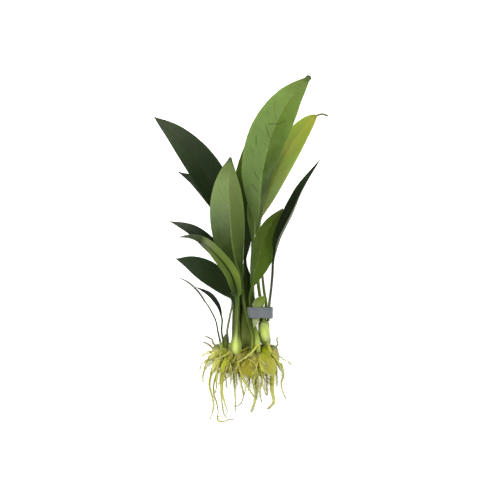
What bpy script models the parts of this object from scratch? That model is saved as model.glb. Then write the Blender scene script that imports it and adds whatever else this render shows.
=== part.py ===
"""A bare-rooted anubias that lies on its back on a flat surface.

+Y runs from the roots to the leaf tips and +Z is up. The origin is on the surface, under the
middle of the plant. The plant has a thick rhizome with leaves on one side and roots on the
other, and a short shoot whose leaf stalks are held together by a flat strip bent into a loop.
"""
import math

import bmesh
import bpy
from mathutils import Vector
from mathutils.bvhtree import BVHTree

MM = 0.001
UP = Vector((0, 0, 1))

# Driving dimensions, in millimetres
TOUCH_GAP = 0.4             # left between pieces that touch
FOOT_CLEARANCE = 0.09       # more gap for each millimetre of a foot's radius
FIRST_STEP = 2.5            # how far a stalk or root goes straight out before it bends
RHIZOME_RADIUS = 8.2
RHIZOME_HEIGHT = 6.8        # of its middle, so that its underside is cut flat
SCAR_DEPTH = 0.3            # of the rings that old leaves left
SCAR_COUNT = 9
SHOOT_RADIUS = (5.6, 5.2)
SHOOT_TOP = -60.5
BLADE_HALF_THICKNESS = 0.5
TIP_HALF_WIDTH = 0.45
TIP_HALF_THICKNESS = 0.35
SCALE_HALF_THICKNESS = 0.4
SCALE_FOLD = math.radians(14)
EDGE_LEAN = 0.2             # share of a blade's fold that comes only towards its edges
BASE_FADE = 8               # how soon a stalk's roundness ends and a blade's fold begins
RHIZOME_ENDING = 0.85       # how far the rhizome's ends close, from 0 to 1
STRIP_MIDDLE = (16.2, -54.6, 10.8)
STRIP_SIZE = (22, 10, 16)
STRIP_WALL = 0.8
STRIP_CORNER = 4

# How finely the pieces are cut
CURVE_STEPS = 12
STALK_RINGS = 8
STALK_CROWDING = 1.4
BLADE_RINGS = 15
ACROSS = (-1, -0.55, 0, 0.55, 1)
ROOT_RINGS = 10
RHIZOME_RINGS = 20
RHIZOME_SIDES = 14
ROOT_SIDES = 6
SHOOT_RINGS = 7
SHOOT_SIDES = 12
CORNER_STEPS = 4

# Colours and finishes
LEAF_ROUGHNESS = 0.45
STEM_ROUGHNESS = 0.6
STRIP_ROUGHNESS = 0.5
STRIP_METALLIC = 0.6
RHIZOME_COLOUR = (0.330, 0.330, 0.055)
SHOOT_COLOUR = (0.450, 0.560, 0.130)
ROOT_COLOUR = (0.470, 0.480, 0.150)
STRIP_COLOUR = (0.200, 0.215, 0.225)

RHIZOME_LINE = [(-26, -88.5), (-12, -91), (3, -93), (17, -92.5), (32, -88.5)]
SHOOT_SEAT = (22, 8)
SHOOT_LINE = [(20.2, -73, 9), (19.6, -67, 9), (19.5, SHOOT_TOP, 9)]
# Swellings of the rhizome: place along it, angle, length, spread in degrees, height
SWELLINGS = [(0.60, 170, 0.11, 45, 4.5), (0.84, 172, 0.13, 45, 5.0), (0.14, 170, 0.12, 45, 4.0),
             (0.36, 170, 0.10, 40, 1.5)]

# One entry for each leaf. seat is the place along X and the angle round the rhizome that the
# stalk grows from; leaves without a seat grow from the shoot. stalk and midrib are the points
# that the leaf's middle line passes through. fold is how far each half leans back from the
# middle, and roll how far the leaf is turned on its length, in degrees, from base to tip.
# tail is the share of the blade's length that is drawn out to a thin point.
LEAVES = {
    "leaf_tall": dict(
        shoot_seat=(18.5, 12.2), stalk=[(17, -46, 13.4), (15.5, -30.5, 15.5), (13.5, -10.5, 20)],
        midrib=[(13.5, 20, 27), (15.5, 38, 34), (19, 67.5, 45), (26, 99.5, 51), (39.5, 126.5, 50),
                (57.5, 148, 43)],
        half_width=19.6, widest=0.54, point=0.95, fold=(38, 34, 30), roll=(26, 18, 2),
        stalk_radius=(1.7, 1.5), colour=(0.165, 0.240, 0.075)),
    "leaf_yellow": dict(
        shoot_seat=(20, 5.6), stalk=[(21.2, -47, 5.6), (20, -35, 6), (18, -13.5, 7), (16.5, 8, 7.5)],
        midrib=[(16, 24.5, 8), (23, 45.5, 9), (34.5, 72, 11), (47.5, 97, 9), (60, 112.5, 5),
                (69, 117.4, 2.6), (75.5, 116, 0.8)],
        half_width=9.5, widest=0.56, point=0.75, tail=0.09, fold=(-22, -14, -6), roll=(4, 4, 0),
        stalk_radius=(1.5, 1.3), colour=(0.330, 0.420, 0.070)),
    "leaf_front": dict(
        seat=(9.5, 50), stalk=[(7.5, -74, 18), (4.3, -61.5, 20.5), (1.8, -46, 23)],
        midrib=[(0.5, -27, 29), (-3.8, -13, 37), (-7.4, 5.5, 47), (-9, 30.5, 57.5), (-10, 56, 63),
                (-9, 77.5, 61)],
        half_width=18.5, widest=0.52, point=0.9, fold=(34, 36, 34), roll=(10, 13, 15),
        stalk_radius=(1.9, 1.5), colour=(0.165, 0.225, 0.070)),
    "leaf_left_high": dict(
        seat=(-6.4, 0), stalk=[(-5.8, -61, 8), (-5.8, -43.5, 8), (-6.4, -13.5, 9.6)],
        midrib=[(-9, 15, 12), (-20, 44.5, 17), (-35, 71.5, 17), (-55, 97, 10), (-76, 114.5, 0.9)],
        half_width=16, widest=0.43, point=1.0, fold=(-20, -20), roll=(27, 24),
        stalk_radius=(1.5, 1.3), colour=(0.030, 0.055, 0.022)),
    "leaf_left_second": dict(
        seat=(-8.2, -30), stalk=[(-7, -61, 4.4), (-6.8, -44, 4.2), (-9, -9, 3.6)],
        midrib=[(-12, 20.5, 3), (-23, 41.5, 2.4), (-38.5, 58, 2.4), (-55, 67.5, 0.9)],
        half_width=7, widest=0.42, point=1.2, fold=(-8, -8), roll=(4, 0),
        stalk_radius=(1.4, 1.2), colour=(0.030, 0.050, 0.024)),
    "leaf_left_mid": dict(
        seat=(-1.8, -22), stalk=[(-2.6, -61, 6.5), (-2.6, -46.5, 9)],
        midrib=[(-4.5, -33.5, 13), (-12, -14, 19), (-26.5, 2.6, 23), (-43.5, 15.6, 21), (-63, 24, 13)],
        half_width=8.4, widest=0.52, point=1.2, fold=(-18, -18), roll=(36, 34),
        stalk_radius=(1.4, 1.2), colour=(0.035, 0.060, 0.026)),
    "leaf_arching": dict(
        seat=(-3.2, 50), stalk=[(-3, -78, 18.5), (-3, -60.5, 22), (-3.2, -50, 25)],
        midrib=[(-3.6, -41.5, 28), (-5.5, -31, 34), (-10, -19, 41), (-19, -7, 47), (-31, 4, 46),
                (-44, 9.4, 38), (-56, 10.5, 29)],
        half_width=10.5, widest=0.36, point=1.25, fold=(-52, -56, -60), roll=(4, 4, 60),
        stalk_radius=(4.8, 1.7), colour=(0.150, 0.220, 0.050)),
    "leaf_left_low": dict(
        seat=(-13, 12), stalk=[(-12.4, -70, 10.6), (-10, -57, 11)],
        midrib=[(-8, -44, 11), (-14, -35.5, 10), (-25.5, -23.5, 8), (-42, -13, 4.6), (-56.5, -8, 0.9)],
        half_width=8.9, widest=0.48, point=1.1, fold=(-14, -14), roll=(0, 0),
        stalk_radius=(1.4, 1.1), colour=(0.020, 0.040, 0.018)),
    "leaf_thin_outer": dict(
        seat=(-18.5, 10), stalk=[(-20.5, -71, 8.5), (-22.3, -62, 8.8), (-26.5, -53, 9.5)],
        midrib=[(-30.5, -46.5, 10), (-38, -36, 12), (-48, -27.5, 12), (-60, -22.5, 8)],
        half_width=4, widest=0.45, point=1.3, fold=(-10, -10), roll=(84, 84),
        stalk_radius=(1.0, 0.7), colour=(0.045, 0.060, 0.035)),
    "leaf_thin_inner": dict(
        seat=(-15.8, 50), stalk=[(-17.2, -71, 15), (-16.9, -64.5, 15.5)],
        midrib=[(-17, -59, 16), (-20.4, -49.5, 18), (-27.8, -40.5, 19), (-39.5, -33.5, 16)],
        half_width=4.6, widest=0.5, point=1.1, fold=(-12, -12), roll=(64, 64),
        stalk_radius=(1.1, 0.8), colour=(0.035, 0.042, 0.032)),
    "leaf_right": dict(
        shoot_seat=(23, 10), stalk=[(24.4, -46, 16), (25.5, -34.5, 24), (26.6, -21.5, 34)],
        midrib=[(27.2, -8, 43), (32.3, 9, 49), (42.3, 28.8, 52), (53.2, 51.3, 50), (67, 75, 43)],
        half_width=10.3, widest=0.43, point=1.1, fold=(-28, -24), roll=(-72, -72),
        stalk_radius=(1.4, 1.1), colour=(0.022, 0.038, 0.014)),
    "leaf_front_right": dict(
        seat=(14.6, 50), stalk=[(11.5, -74, 14.6), (8.2, -62, 13), (7.6, -50, 14), (7.2, -40, 21)],
        midrib=[(7.5, -33, 28), (10.5, -17.5, 37), (17, 3, 42.5), (25, 21, 42.5), (35.5, 35, 37)],
        half_width=12.5, widest=0.42, point=1.0, fold=(36, 30), roll=(-26, -20),
        stalk_radius=(2.2, 1.2), colour=(0.090, 0.140, 0.022)),
    "leaf_back": dict(
        seat=(3, -25), stalk=[(3.6, -61, 3.6), (4.2, -44, 3), (5, -22, 2.2)],
        midrib=[(5, -11, 1.8), (4, 15, 1), (5, 50, 0.8), (11, 86.5, 0.8), (18.5, 118.5, 0.8)],
        half_width=12, widest=0.5, point=1.0, fold=(-4, -4), roll=(0, 0),
        stalk_radius=(1.5, 1.3), colour=(0.070, 0.105, 0.020)),
    "leaf_centre": dict(
        shoot_seat=(15.9, 8.8),
        stalk=[(12.6, -51, 9.4), (11, -44, 10), (10.2, -30.5, 12), (11.8, -11, 14.5)],
        midrib=[(13, 10, 17), (13.4, 29.5, 19), (16.5, 51, 22), (23, 74.5, 23), (29.5, 92.5, 21)],
        half_width=7.5, widest=0.42, point=1.1, fold=(10, 10), roll=(30, 0),
        stalk_radius=(1.2, 1.1), colour=(0.080, 0.130, 0.030)),
}

# The sheath that the strip holds, and the old scale leaves on the rhizome. midrib is the middle
# line, and widths are half the width at places spread evenly along it.
SCALES = {
    "sheath": dict(
        midrib=[(10.4, -67.5, 16.6), (11.8, -62, 16.7), (13, -54, 16.7), (14.4, -46, 17.6),
                (16.4, -40.8, 19)],
        widths=(0.5, 2.6, 4.0, 4.6, 4.9, 5.0, 1.6), colour=(0.250, 0.320, 0.120)),
    "scale_right": dict(
        midrib=[(17, -89.5, 17.6), (20, -95, 18.6), (24, -102, 17), (28, -109.5, 11)],
        widths=(1.5, 5.0, 7.0, 7.4, 5.6, 2.8, 0.6), colour=(0.400, 0.400, 0.070)),
    "scale_middle": dict(
        midrib=[(4.4, -94, 17.4), (6.4, -100, 17.6), (9, -107, 14.8), (11, -112.5, 9)],
        widths=(1.5, 4.8, 6.2, 6.2, 5.0, 2.8, 0.7), colour=(0.360, 0.350, 0.070)),
    "scale_left": dict(
        midrib=[(-11.8, -92.5, 17.2), (-13.6, -97.5, 17.8), (-16, -103, 16.4), (-17, -107, 13)],
        widths=(0.8, 2.4, 3.2, 3.2, 2.4, 1.4, 0.5), colour=(0.260, 0.340, 0.030)),
}

# One entry for each root: its seat on the rhizome, the points that it passes through, and its
# radius at the base and at the tip
ROOTS = {
    "root_left_short": dict(
        seat=(-25.3, 195), radius=(1.0, 0.5),
        line=[(-31, -99, 2.6), (-33.3, -108, 1.2), (-33.8, -116.5, 1)]),
    "root_left_long": dict(
        seat=(-21, 203), radius=(1.2, 0.5),
        line=[(-25.5, -104, 2), (-28, -118, 1.2), (-24.3, -135, 1.2), (-28.6, -150.3, 0.9)]),
    "root_left_raised": dict(
        seat=(-18, 165), radius=(1.1, 0.5),
        line=[(-21.5, -108, 6), (-24.7, -122, 5), (-21.2, -134, 4.5), (-20.4, -143, 3),
              (-21.2, -148, 1.2)]),
    "root_left_hooked": dict(
        seat=(-15, 203), radius=(1.1, 0.5),
        line=[(-17.8, -111, 1.6), (-17.4, -130, 1.2), (-15.8, -142, 1.1), (-11.7, -148, 0.9)]),
    "root_left_thick": dict(
        seat=(-13, 152), radius=(1.5, 0.6),
        line=[(-15.4, -107, 10.5), (-16.9, -121, 8.5), (-14.3, -134, 6), (-12.4, -140, 4.4),
              (-13.6, -144.6, 3)]),
    "root_left_front": dict(
        seat=(-18.5, 125), radius=(1.1, 0.5),
        line=[(-21, -105, 12), (-21.8, -118, 9), (-25, -129, 8)]),
    "root_middle_short": dict(
        seat=(-8.5, 150), radius=(1.0, 0.5),
        line=[(-9, -108, 8), (-9.6, -117, 6)]),
    "root_middle_straight": dict(
        seat=(-8, 203), radius=(1.1, 0.5),
        line=[(-6.8, -108, 1.8), (-6, -125, 1.2), (-5.2, -143.5, 0.9)]),
    "root_middle_hooked": dict(
        seat=(-3.5, 180), radius=(1.1, 0.5),
        line=[(-3, -106, 6), (0, -118, 5), (1.3, -127, 5), (-1.6, -134.5, 5), (-8.2, -136, 4.6)]),
    "root_middle_slanting": dict(
        seat=(-3, 122), radius=(1.3, 0.6),
        line=[(-1.5, -104, 14.5), (5.6, -119, 11), (10.8, -127.5, 8), (14.6, -130.6, 6)]),
    "root_middle_front": dict(
        seat=(2, 150), radius=(1.1, 0.5),
        line=[(0.6, -105, 10), (-0.6, -116, 9.5), (3.4, -127, 8)]),
    "root_centre_short": dict(
        seat=(4, 203), radius=(1.0, 0.5),
        line=[(7, -106, 1.8), (5.6, -123.5, 0.9)]),
    "root_centre_thick": dict(
        seat=(9.5, 203), radius=(1.5, 0.6),
        line=[(12.2, -109, 2), (12.6, -126, 1.5), (10, -137, 1.2), (7.6, -142.6, 1)]),
    "root_right_slender": dict(
        seat=(14.5, 203), radius=(1.0, 0.5),
        line=[(18, -110, 1.8), (15.8, -125, 1.2), (18, -134, 0.9)]),
    "root_right_front": dict(
        seat=(16.4, 150), radius=(1.1, 0.5),
        line=[(17.2, -108, 10.4), (18.6, -119, 9), (21.8, -127, 7)]),
    "root_right_short": dict(
        seat=(19.5, 203), radius=(1.0, 0.5),
        line=[(21.8, -110, 1.8), (22.2, -127.5, 0.9)]),
    "root_right_thick": dict(
        seat=(24, 200), radius=(1.5, 0.6),
        line=[(26, -107, 2), (26.2, -121, 1.5), (28.3, -132, 1.3), (25, -136.4, 1.2),
              (21.6, -139.4, 1)]),
    "root_right_straight": dict(
        seat=(27.5, 200), radius=(1.0, 0.5),
        line=[(30.3, -105, 1.8), (30.9, -120, 1)]),
    "root_right_long": dict(
        seat=(30, 195), radius=(1.2, 0.5),
        line=[(34.2, -100, 2), (36.4, -109, 1.4), (34.4, -119, 1.2), (39.4, -132, 0.9)]),
    "root_right_raised": dict(
        seat=(27, 100), radius=(1.1, 0.5),
        line=[(31.4, -96, 13), (36.4, -104, 9), (39, -111, 6.4)]),
    "rootlet_left_upper": dict(
        seat=(-22.5, 20), radius=(0.9, 0.5),
        line=[(-26, -77.5, 8), (-32, -75, 5.5)]),
    "rootlet_left_lower": dict(
        seat=(-25, -20), radius=(0.9, 0.5),
        line=[(-30, -81.5, 4), (-34.5, -80, 2)]),
    "rootlet_right": dict(
        seat=(29.5, 5), radius=(0.9, 0.5),
        line=[(30.6, -78, 5), (32, -75.5, 3)]),
}


def finish(name, colour, roughness, metallic=0.0):
    """A plain surface of one colour."""
    material = bpy.data.materials.new(name)
    material.use_nodes = True
    shader = material.node_tree.nodes["Principled BSDF"]
    shader.inputs["Base Color"].default_value = (*colour, 1)
    shader.inputs["Roughness"].default_value = roughness
    shader.inputs["Metallic"].default_value = metallic
    material.diffuse_color = (*colour, 1)
    return material


def add_piece(name, bm, material, sharp_angle=60):
    """A named object from a closed mesh whose sizes are in millimetres."""
    bmesh.ops.recalc_face_normals(bm, faces=bm.faces)
    bmesh.ops.triangulate(bm, faces=bm.faces)
    bmesh.ops.scale(bm, vec=(MM, MM, MM), verts=bm.verts)
    mesh = bpy.data.meshes.new(name)
    bm.to_mesh(mesh)
    bm.free()
    mesh.materials.append(material)
    mesh.shade_smooth()
    mesh.set_sharp_from_angle(angle=math.radians(sharp_angle))
    piece = bpy.data.objects.new(name, mesh)
    bpy.context.scene.collection.objects.link(piece)
    return piece


def smooth_line(points):
    """Close-set points on a smooth curve through the given ones."""
    given = [Vector(point) for point in points]
    given = [2 * given[0] - given[1]] + given + [2 * given[-1] - given[-2]]
    line = []
    for a, b, c, d in zip(given, given[1:], given[2:], given[3:]):
        for step in range(CURVE_STEPS):
            t = step / CURVE_STEPS
            bend = (2 * a - 5 * b + 4 * c - d) * t ** 2 + (3 * b - a - 3 * c + d) * t ** 3
            line.append(b + ((c - a) * t + bend) / 2)
    line.append(given[-2])
    return line


def spread(line, count, crowding=1.0):
    """count places along a line, each a point and the direction of travel there.

    The places are evenly spaced, or closer together at the start if crowding is above 1.
    """
    reach = [0.0]
    for a, b in zip(line, line[1:]):
        reach.append(reach[-1] + (b - a).length)
    places = []
    k = 0
    for i in range(count):
        goal = reach[-1] * (i / (count - 1)) ** crowding
        while k < len(line) - 2 and reach[k + 1] < goal:
            k += 1
        share = (goal - reach[k]) / (reach[k + 1] - reach[k])
        point = line[k].lerp(line[k + 1], min(max(share, 0), 1))
        places.append((point, (line[k + 1] - line[k]).normalized()))
    return places


def skin(bm, rings):
    """Close the rings of points into one body, with a flat face at each end."""
    rows = [[bm.verts.new(point) for point in ring] for ring in rings]
    sides = len(rows[0])
    for row, following in zip(rows, rows[1:]):
        for i in range(sides):
            j = (i + 1) % sides
            bm.faces.new((row[i], row[j], following[j], following[i]))
    bm.faces.new(rows[0])
    bm.faces.new(rows[-1])


def blend(values, u):
    """The value at u, from the first of the values at 0 to the last at 1."""
    place = u * (len(values) - 1)
    k = min(int(place), len(values) - 2)
    return values[k] + (values[k + 1] - values[k]) * (place - k)


def outline(u, leaf):
    """Half the width of a blade, at u from 0 at its base to 1 at its tip."""
    u = min(u / (1 - leaf.get("tail", 0)), 1)
    top = leaf["widest"]
    swell = leaf["point"] * top / (1 - top)
    return leaf["half_width"] * (u / top) ** swell * ((1 - u) / (1 - top)) ** leaf["point"]


def leaf_section(middle, along, half_width, half_thickness, fold, roll):
    """The points round a leaf at one place: nearly round on the stalk, a thin V on the blade."""
    facing = (UP - along * along.dot(UP)).normalized()
    side = facing.cross(along)
    turned_side = side * math.cos(roll) + facing * math.sin(roll)
    face = facing * math.cos(roll) - side * math.sin(roll)
    upper, lower = [], []
    for v in ACROSS:
        lean = fold * (1 - EDGE_LEAN + EDGE_LEAN * abs(v))
        point = middle + turned_side * (v * half_width * math.cos(lean))
        point -= face * (abs(v) * half_width * math.sin(lean))
        depth = face * half_thickness * math.sqrt(1 - v * v)
        upper.append(point + depth)
        lower.append(point - depth)
    return upper + lower[-2:0:-1]


def make_leaf(name, leaf, start):
    """A leaf from the foot of its stalk to the tip of its blade."""
    stalk = start + leaf["stalk"]
    line = smooth_line(stalk + leaf["midrib"])
    blade_start = len(stalk) * CURVE_STEPS
    stalk_places = spread(line[:blade_start + 1], STALK_RINGS, STALK_CROWDING)
    places = stalk_places[:-1] + spread(line[blade_start:], BLADE_RINGS)
    thick, thin = leaf["stalk_radius"]
    rings = []
    for i, (point, along) in enumerate(places):
        u = max(i - STALK_RINGS + 1, 0) / (BLADE_RINGS - 1)
        if u > 0:
            least = thin + (TIP_HALF_WIDTH - thin) * u
            half_width = max(outline(u, leaf), least)
            flat = BLADE_HALF_THICKNESS + (TIP_HALF_THICKNESS - BLADE_HALF_THICKNESS) * u
            half_thickness = flat + (thin - flat) * (1 - u) ** BASE_FADE
        else:
            rise = (i / (STALK_RINGS - 1)) ** STALK_CROWDING
            half_width = half_thickness = thin + (thick - thin) * (1 - rise) ** 3
        fold = math.radians(blend(leaf["fold"], u)) * min(u * BASE_FADE, 1)
        roll = math.radians(blend(leaf["roll"], u))
        rings.append(leaf_section(point, along, half_width, half_thickness, fold, roll))
    bm = bmesh.new()
    skin(bm, rings)
    return add_piece(name, bm, finish(name, leaf["colour"], LEAF_ROUGHNESS))


def make_rhizome():
    """The thick creeping stem, ringed with scars, swollen in places and flat underneath."""
    line = smooth_line([(x, y, RHIZOME_HEIGHT) for x, y in RHIZOME_LINE])
    rings = []
    for i, (point, along) in enumerate(spread(line, RHIZOME_RINGS)):
        share = i / (RHIZOME_RINGS - 1)
        ending = math.sqrt(1 - RHIZOME_ENDING * abs(2 * share - 1) ** 10)
        scar = 1 - SCAR_DEPTH / RHIZOME_RADIUS * math.cos(2 * math.pi * SCAR_COUNT * share)
        leafward = UP.cross(along)
        ring = []
        for k in range(RHIZOME_SIDES):
            angle = 2 * math.pi * k / RHIZOME_SIDES - math.pi / 2
            radius = RHIZOME_RADIUS * scar
            for place, turn, length, width, height in SWELLINGS:
                off = math.remainder(angle - math.radians(turn), 2 * math.pi) / math.radians(width)
                radius += height * math.exp(-((share - place) / length) ** 2 - off ** 2)
            spot = point + (leafward * math.cos(angle) + UP * math.sin(angle)) * radius * ending
            spot.z = max(spot.z, 0)
            ring.append(spot)
        rings.append(ring)
    bm = bmesh.new()
    skin(bm, rings)
    return add_piece("rhizome", bm, finish("rhizome", RHIZOME_COLOUR, STEM_ROUGHNESS))


def rhizome_start(tree, seat, radius):
    """The first two points of what grows from the rhizome at a place along X and an angle.

    They are clear of the surface, and straight out of it. A wide foot keeps further clear,
    because the surface under it isn't flat.
    """
    x, turn = seat
    middle = min(smooth_line([(px, py, RHIZOME_HEIGHT) for px, py in RHIZOME_LINE]),
                 key=lambda point: abs(point.x - x))
    out = Vector((0, math.cos(math.radians(turn)), math.sin(math.radians(turn))))
    surface, normal, _, _ = tree.ray_cast((middle + out * RHIZOME_RADIUS * 3) * MM, -out)
    gap = TOUCH_GAP + radius * FOOT_CLEARANCE
    return [surface / MM + normal * distance for distance in (gap, gap + FIRST_STEP)]


def shoot_start(seat):
    """The first two points of a stalk that grows from the shoot's top, at a place on it."""
    x, z = seat
    return [(x, SHOOT_TOP + distance, z) for distance in (TOUCH_GAP, TOUCH_GAP + FIRST_STEP)]


def make_tube(name, points, radius, count, sides, material):
    """A round tube through the points, from one radius to another, with flat ends."""
    rings = []
    side = None
    for i, (spot, along) in enumerate(spread(smooth_line(points), count, STALK_CROWDING)):
        share = i / (count - 1)
        size = radius[0] + (radius[1] - radius[0]) * share
        spot.z = max(spot.z, size)
        guide = UP if side is None else side
        other = along.cross(guide).normalized()
        side = other.cross(along)
        turns = [2 * math.pi * k / sides for k in range(sides)]
        rings.append([spot + (side * math.cos(a) + other * math.sin(a)) * size for a in turns])
    bm = bmesh.new()
    skin(bm, rings)
    return add_piece(name, bm, material)


def make_shoot(tree):
    """The stout new shoot that carries the four right-hand leaves."""
    line = rhizome_start(tree, SHOOT_SEAT, SHOOT_RADIUS[0]) + SHOOT_LINE
    material = finish("shoot", SHOOT_COLOUR, LEAF_ROUGHNESS)
    return make_tube("shoot", line, SHOOT_RADIUS, SHOOT_RINGS, SHOOT_SIDES, material)


def make_scale(name, scale):
    """A small leaf scale without a stalk, slightly cupped."""
    places = spread(smooth_line(scale["midrib"]), len(scale["widths"]))
    rings = []
    for (point, along), width in zip(places, scale["widths"]):
        rings.append(leaf_section(point, along, width, SCALE_HALF_THICKNESS, SCALE_FOLD, 0))
    bm = bmesh.new()
    skin(bm, rings)
    return add_piece(name, bm, finish(name, scale["colour"], STEM_ROUGHNESS))


def loop_outline(width, height, corner):
    """The corners and rounded corners of a loop, going round once."""
    points = []
    for quarter in range(4):
        x = (width / 2 - corner) * (1 if quarter in (0, 3) else -1)
        z = (height / 2 - corner) * (1 if quarter in (0, 1) else -1)
        for step in range(CORNER_STEPS + 1):
            angle = math.pi / 2 * (quarter + step / CORNER_STEPS)
            points.append((x + corner * math.cos(angle), z + corner * math.sin(angle)))
    return points


def make_strip():
    """The flat grey strip, bent round the stalks into a loop."""
    width, depth, height = STRIP_SIZE
    middle = Vector(STRIP_MIDDLE)
    outer = loop_outline(width, height, STRIP_CORNER)
    inner = loop_outline(width - 2 * STRIP_WALL, height - 2 * STRIP_WALL, STRIP_CORNER - STRIP_WALL)
    bm = bmesh.new()
    rows = []
    for points, y in ((outer, -depth / 2), (outer, depth / 2), (inner, depth / 2), (inner, -depth / 2)):
        rows.append([bm.verts.new(middle + Vector((x, y, z))) for x, z in points])
    count = len(outer)
    for row, following in zip(rows, rows[1:] + rows[:1]):
        for i in range(count):
            j = (i + 1) % count
            bm.faces.new((row[i], row[j], following[j], following[i]))
    material = finish("strip", STRIP_COLOUR, STRIP_ROUGHNESS, STRIP_METALLIC)
    return add_piece("strip", bm, material, sharp_angle=40)


def main():
    for old in list(bpy.data.objects):
        bpy.data.objects.remove(old, do_unlink=True)
    rhizome = make_rhizome()
    surface = bmesh.new()
    surface.from_mesh(rhizome.data)
    tree = BVHTree.FromBMesh(surface)
    make_shoot(tree)
    make_strip()
    for name, scale in SCALES.items():
        make_scale(name, scale)
    for name, leaf in LEAVES.items():
        if "seat" in leaf:
            start = rhizome_start(tree, leaf["seat"], leaf["stalk_radius"][0])
        else:
            start = shoot_start(leaf["shoot_seat"])
        make_leaf(name, leaf, start)
    for name, root in ROOTS.items():
        points = rhizome_start(tree, root["seat"], root["radius"][0]) + root["line"]
        material = finish(name, ROOT_COLOUR, STEM_ROUGHNESS)
        make_tube(name, points, root["radius"], ROOT_RINGS, ROOT_SIDES, material)
    surface.free()


main()
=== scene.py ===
import math
import random

import bpy
import numpy as np
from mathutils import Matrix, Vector
from mathutils.bvhtree import BVHTree


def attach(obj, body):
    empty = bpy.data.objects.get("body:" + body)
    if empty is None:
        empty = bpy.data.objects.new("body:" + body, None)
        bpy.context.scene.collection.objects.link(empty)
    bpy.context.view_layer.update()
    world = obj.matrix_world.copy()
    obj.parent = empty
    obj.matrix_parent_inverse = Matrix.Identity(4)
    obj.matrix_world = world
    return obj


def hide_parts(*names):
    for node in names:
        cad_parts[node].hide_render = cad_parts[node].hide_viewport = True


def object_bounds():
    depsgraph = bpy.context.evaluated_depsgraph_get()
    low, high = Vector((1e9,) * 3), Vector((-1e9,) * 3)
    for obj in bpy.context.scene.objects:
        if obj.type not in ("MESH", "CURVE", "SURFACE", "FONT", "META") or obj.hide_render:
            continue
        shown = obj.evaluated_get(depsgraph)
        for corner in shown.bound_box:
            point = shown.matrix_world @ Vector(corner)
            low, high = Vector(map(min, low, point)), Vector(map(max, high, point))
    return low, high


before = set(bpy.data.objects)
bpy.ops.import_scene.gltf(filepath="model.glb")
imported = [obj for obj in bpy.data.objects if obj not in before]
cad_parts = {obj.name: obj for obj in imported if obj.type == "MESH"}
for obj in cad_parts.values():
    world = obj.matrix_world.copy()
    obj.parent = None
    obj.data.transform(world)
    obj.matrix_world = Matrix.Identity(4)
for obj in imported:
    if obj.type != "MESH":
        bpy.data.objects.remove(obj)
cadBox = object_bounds()

mm = 0.001
plantTone = 0.72             # the light makes a colour this much brighter than its paint


# Nodes go into one tree at a time, and what a node gives can be reckoned with like a number

bench = {}


class Wire:
    def __init__(self, socket):
        self.socket = socket

    def __add__(self, other):
        return reckon("ADD", self, other)

    def __sub__(self, other):
        return reckon("SUBTRACT", self, other)

    def __rsub__(self, other):
        return reckon("SUBTRACT", other, self)

    def __mul__(self, other):
        return reckon("MULTIPLY", self, other)

    def __truediv__(self, other):
        return reckon("DIVIDE", self, other)

    def __pow__(self, other):
        return reckon("POWER", self, other)

    def __abs__(self):
        return reckon("ABSOLUTE", self)


def feed(socket, value):
    if isinstance(value, Wire):
        bench["tree"].links.new(value.socket, socket)
    else:
        socket.default_value = value


def addNode(kind, feeds=None, **settings):
    made = bench["tree"].nodes.new(kind)
    for key, value in settings.items():
        setattr(made, key, value)
    for key, value in (feeds or {}).items():
        feed(made.inputs[key], value)
    return made


def wired(kind, feeds=None, output=0, **settings):
    return Wire(addNode(kind, feeds, **settings).outputs[output])


def reckon(operation, *values):
    return wired("ShaderNodeMath", dict(enumerate(values)), operation=operation)


def reckonWay(operation, *vectors, output=0):
    return wired("ShaderNodeVectorMath", dict(enumerate(vectors)), output, operation=operation)


def grown(direction, length):
    # a vector of that direction times that length
    return wired("ShaderNodeVectorMath", {0: direction, "Scale": length}, operation="SCALE")


def joined(x, y, z):
    return wired("ShaderNodeCombineXYZ", {0: x, 1: y, 2: z})


def eased(value, low, high, least=0.0, most=1.0):
    # least at low, most at high, smooth between them
    feeds = {"Value": value, "From Min": low, "From Max": high, "To Min": least, "To Max": most}
    return wired("ShaderNodeMapRange", feeds, interpolation_type="SMOOTHSTEP")


def spanned(value, low, high):
    # a value from 0 to 1 stretched to lie between low and high
    return wired("ShaderNodeMapRange", {"Value": value, "To Min": low, "To Max": high})


def cloud(vector, scale, detail=3.0, roughness=0.5, shift=0.0, output=0):
    feeds = {"Vector": vector, "W": shift, "Scale": scale, "Detail": detail, "Roughness": roughness}
    return wired("ShaderNodeTexNoise", feeds, output, noise_dimensions="4D")


def paint(code):
    # a colour from its red, green and blue pairs
    tones = [int(code[i:i + 2], 16) / 255 for i in (0, 2, 4)]
    linear = [c / 12.92 if c <= 0.04045 else ((c + 0.055) / 1.055) ** 2.4 for c in tones]
    return tuple(c * plantTone for c in linear) + (1,)


def ramped(value, stops):
    node = addNode("ShaderNodeValToRGB", {0: value})
    elements = node.color_ramp.elements
    while len(elements) < len(stops):
        elements.new(0.5)
    for element, (place, code) in zip(elements, stops):
        element.position = place
        element.color = paint(code)
    return Wire(node.outputs[0])


def mixed(share, first, second, way="MIX"):
    return wired("ShaderNodeMix", {0: share, 6: first, 7: second}, 2, data_type="RGBA", blend_type=way)


def tinted(skin, share, code, way="MIX"):
    return mixed(share, skin, paint(code), way)


def bumped(height, distance):
    return wired("ShaderNodeBump", {"Height": height, "Distance": distance})


def marked(name):
    # a value that the piece's mesh carries under that name
    return wired("ShaderNodeAttribute", output="Fac", attribute_name=name)


def ownPlace():
    return wired("ShaderNodeTexCoord", output="Object")


def newFinish(name):
    finish = bpy.data.materials.new(name)
    finish.use_nodes = True
    bench["tree"] = finish.node_tree
    return finish


def dressed(finish, values):
    for label, value in values.items():
        feed(finish.node_tree.nodes["Principled BSDF"].inputs[label], value)
    return finish


def carried(name, kind="FLOAT"):
    return wired("GeometryNodeInputNamedAttribute", {"Name": name}, data_type=kind)


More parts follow.
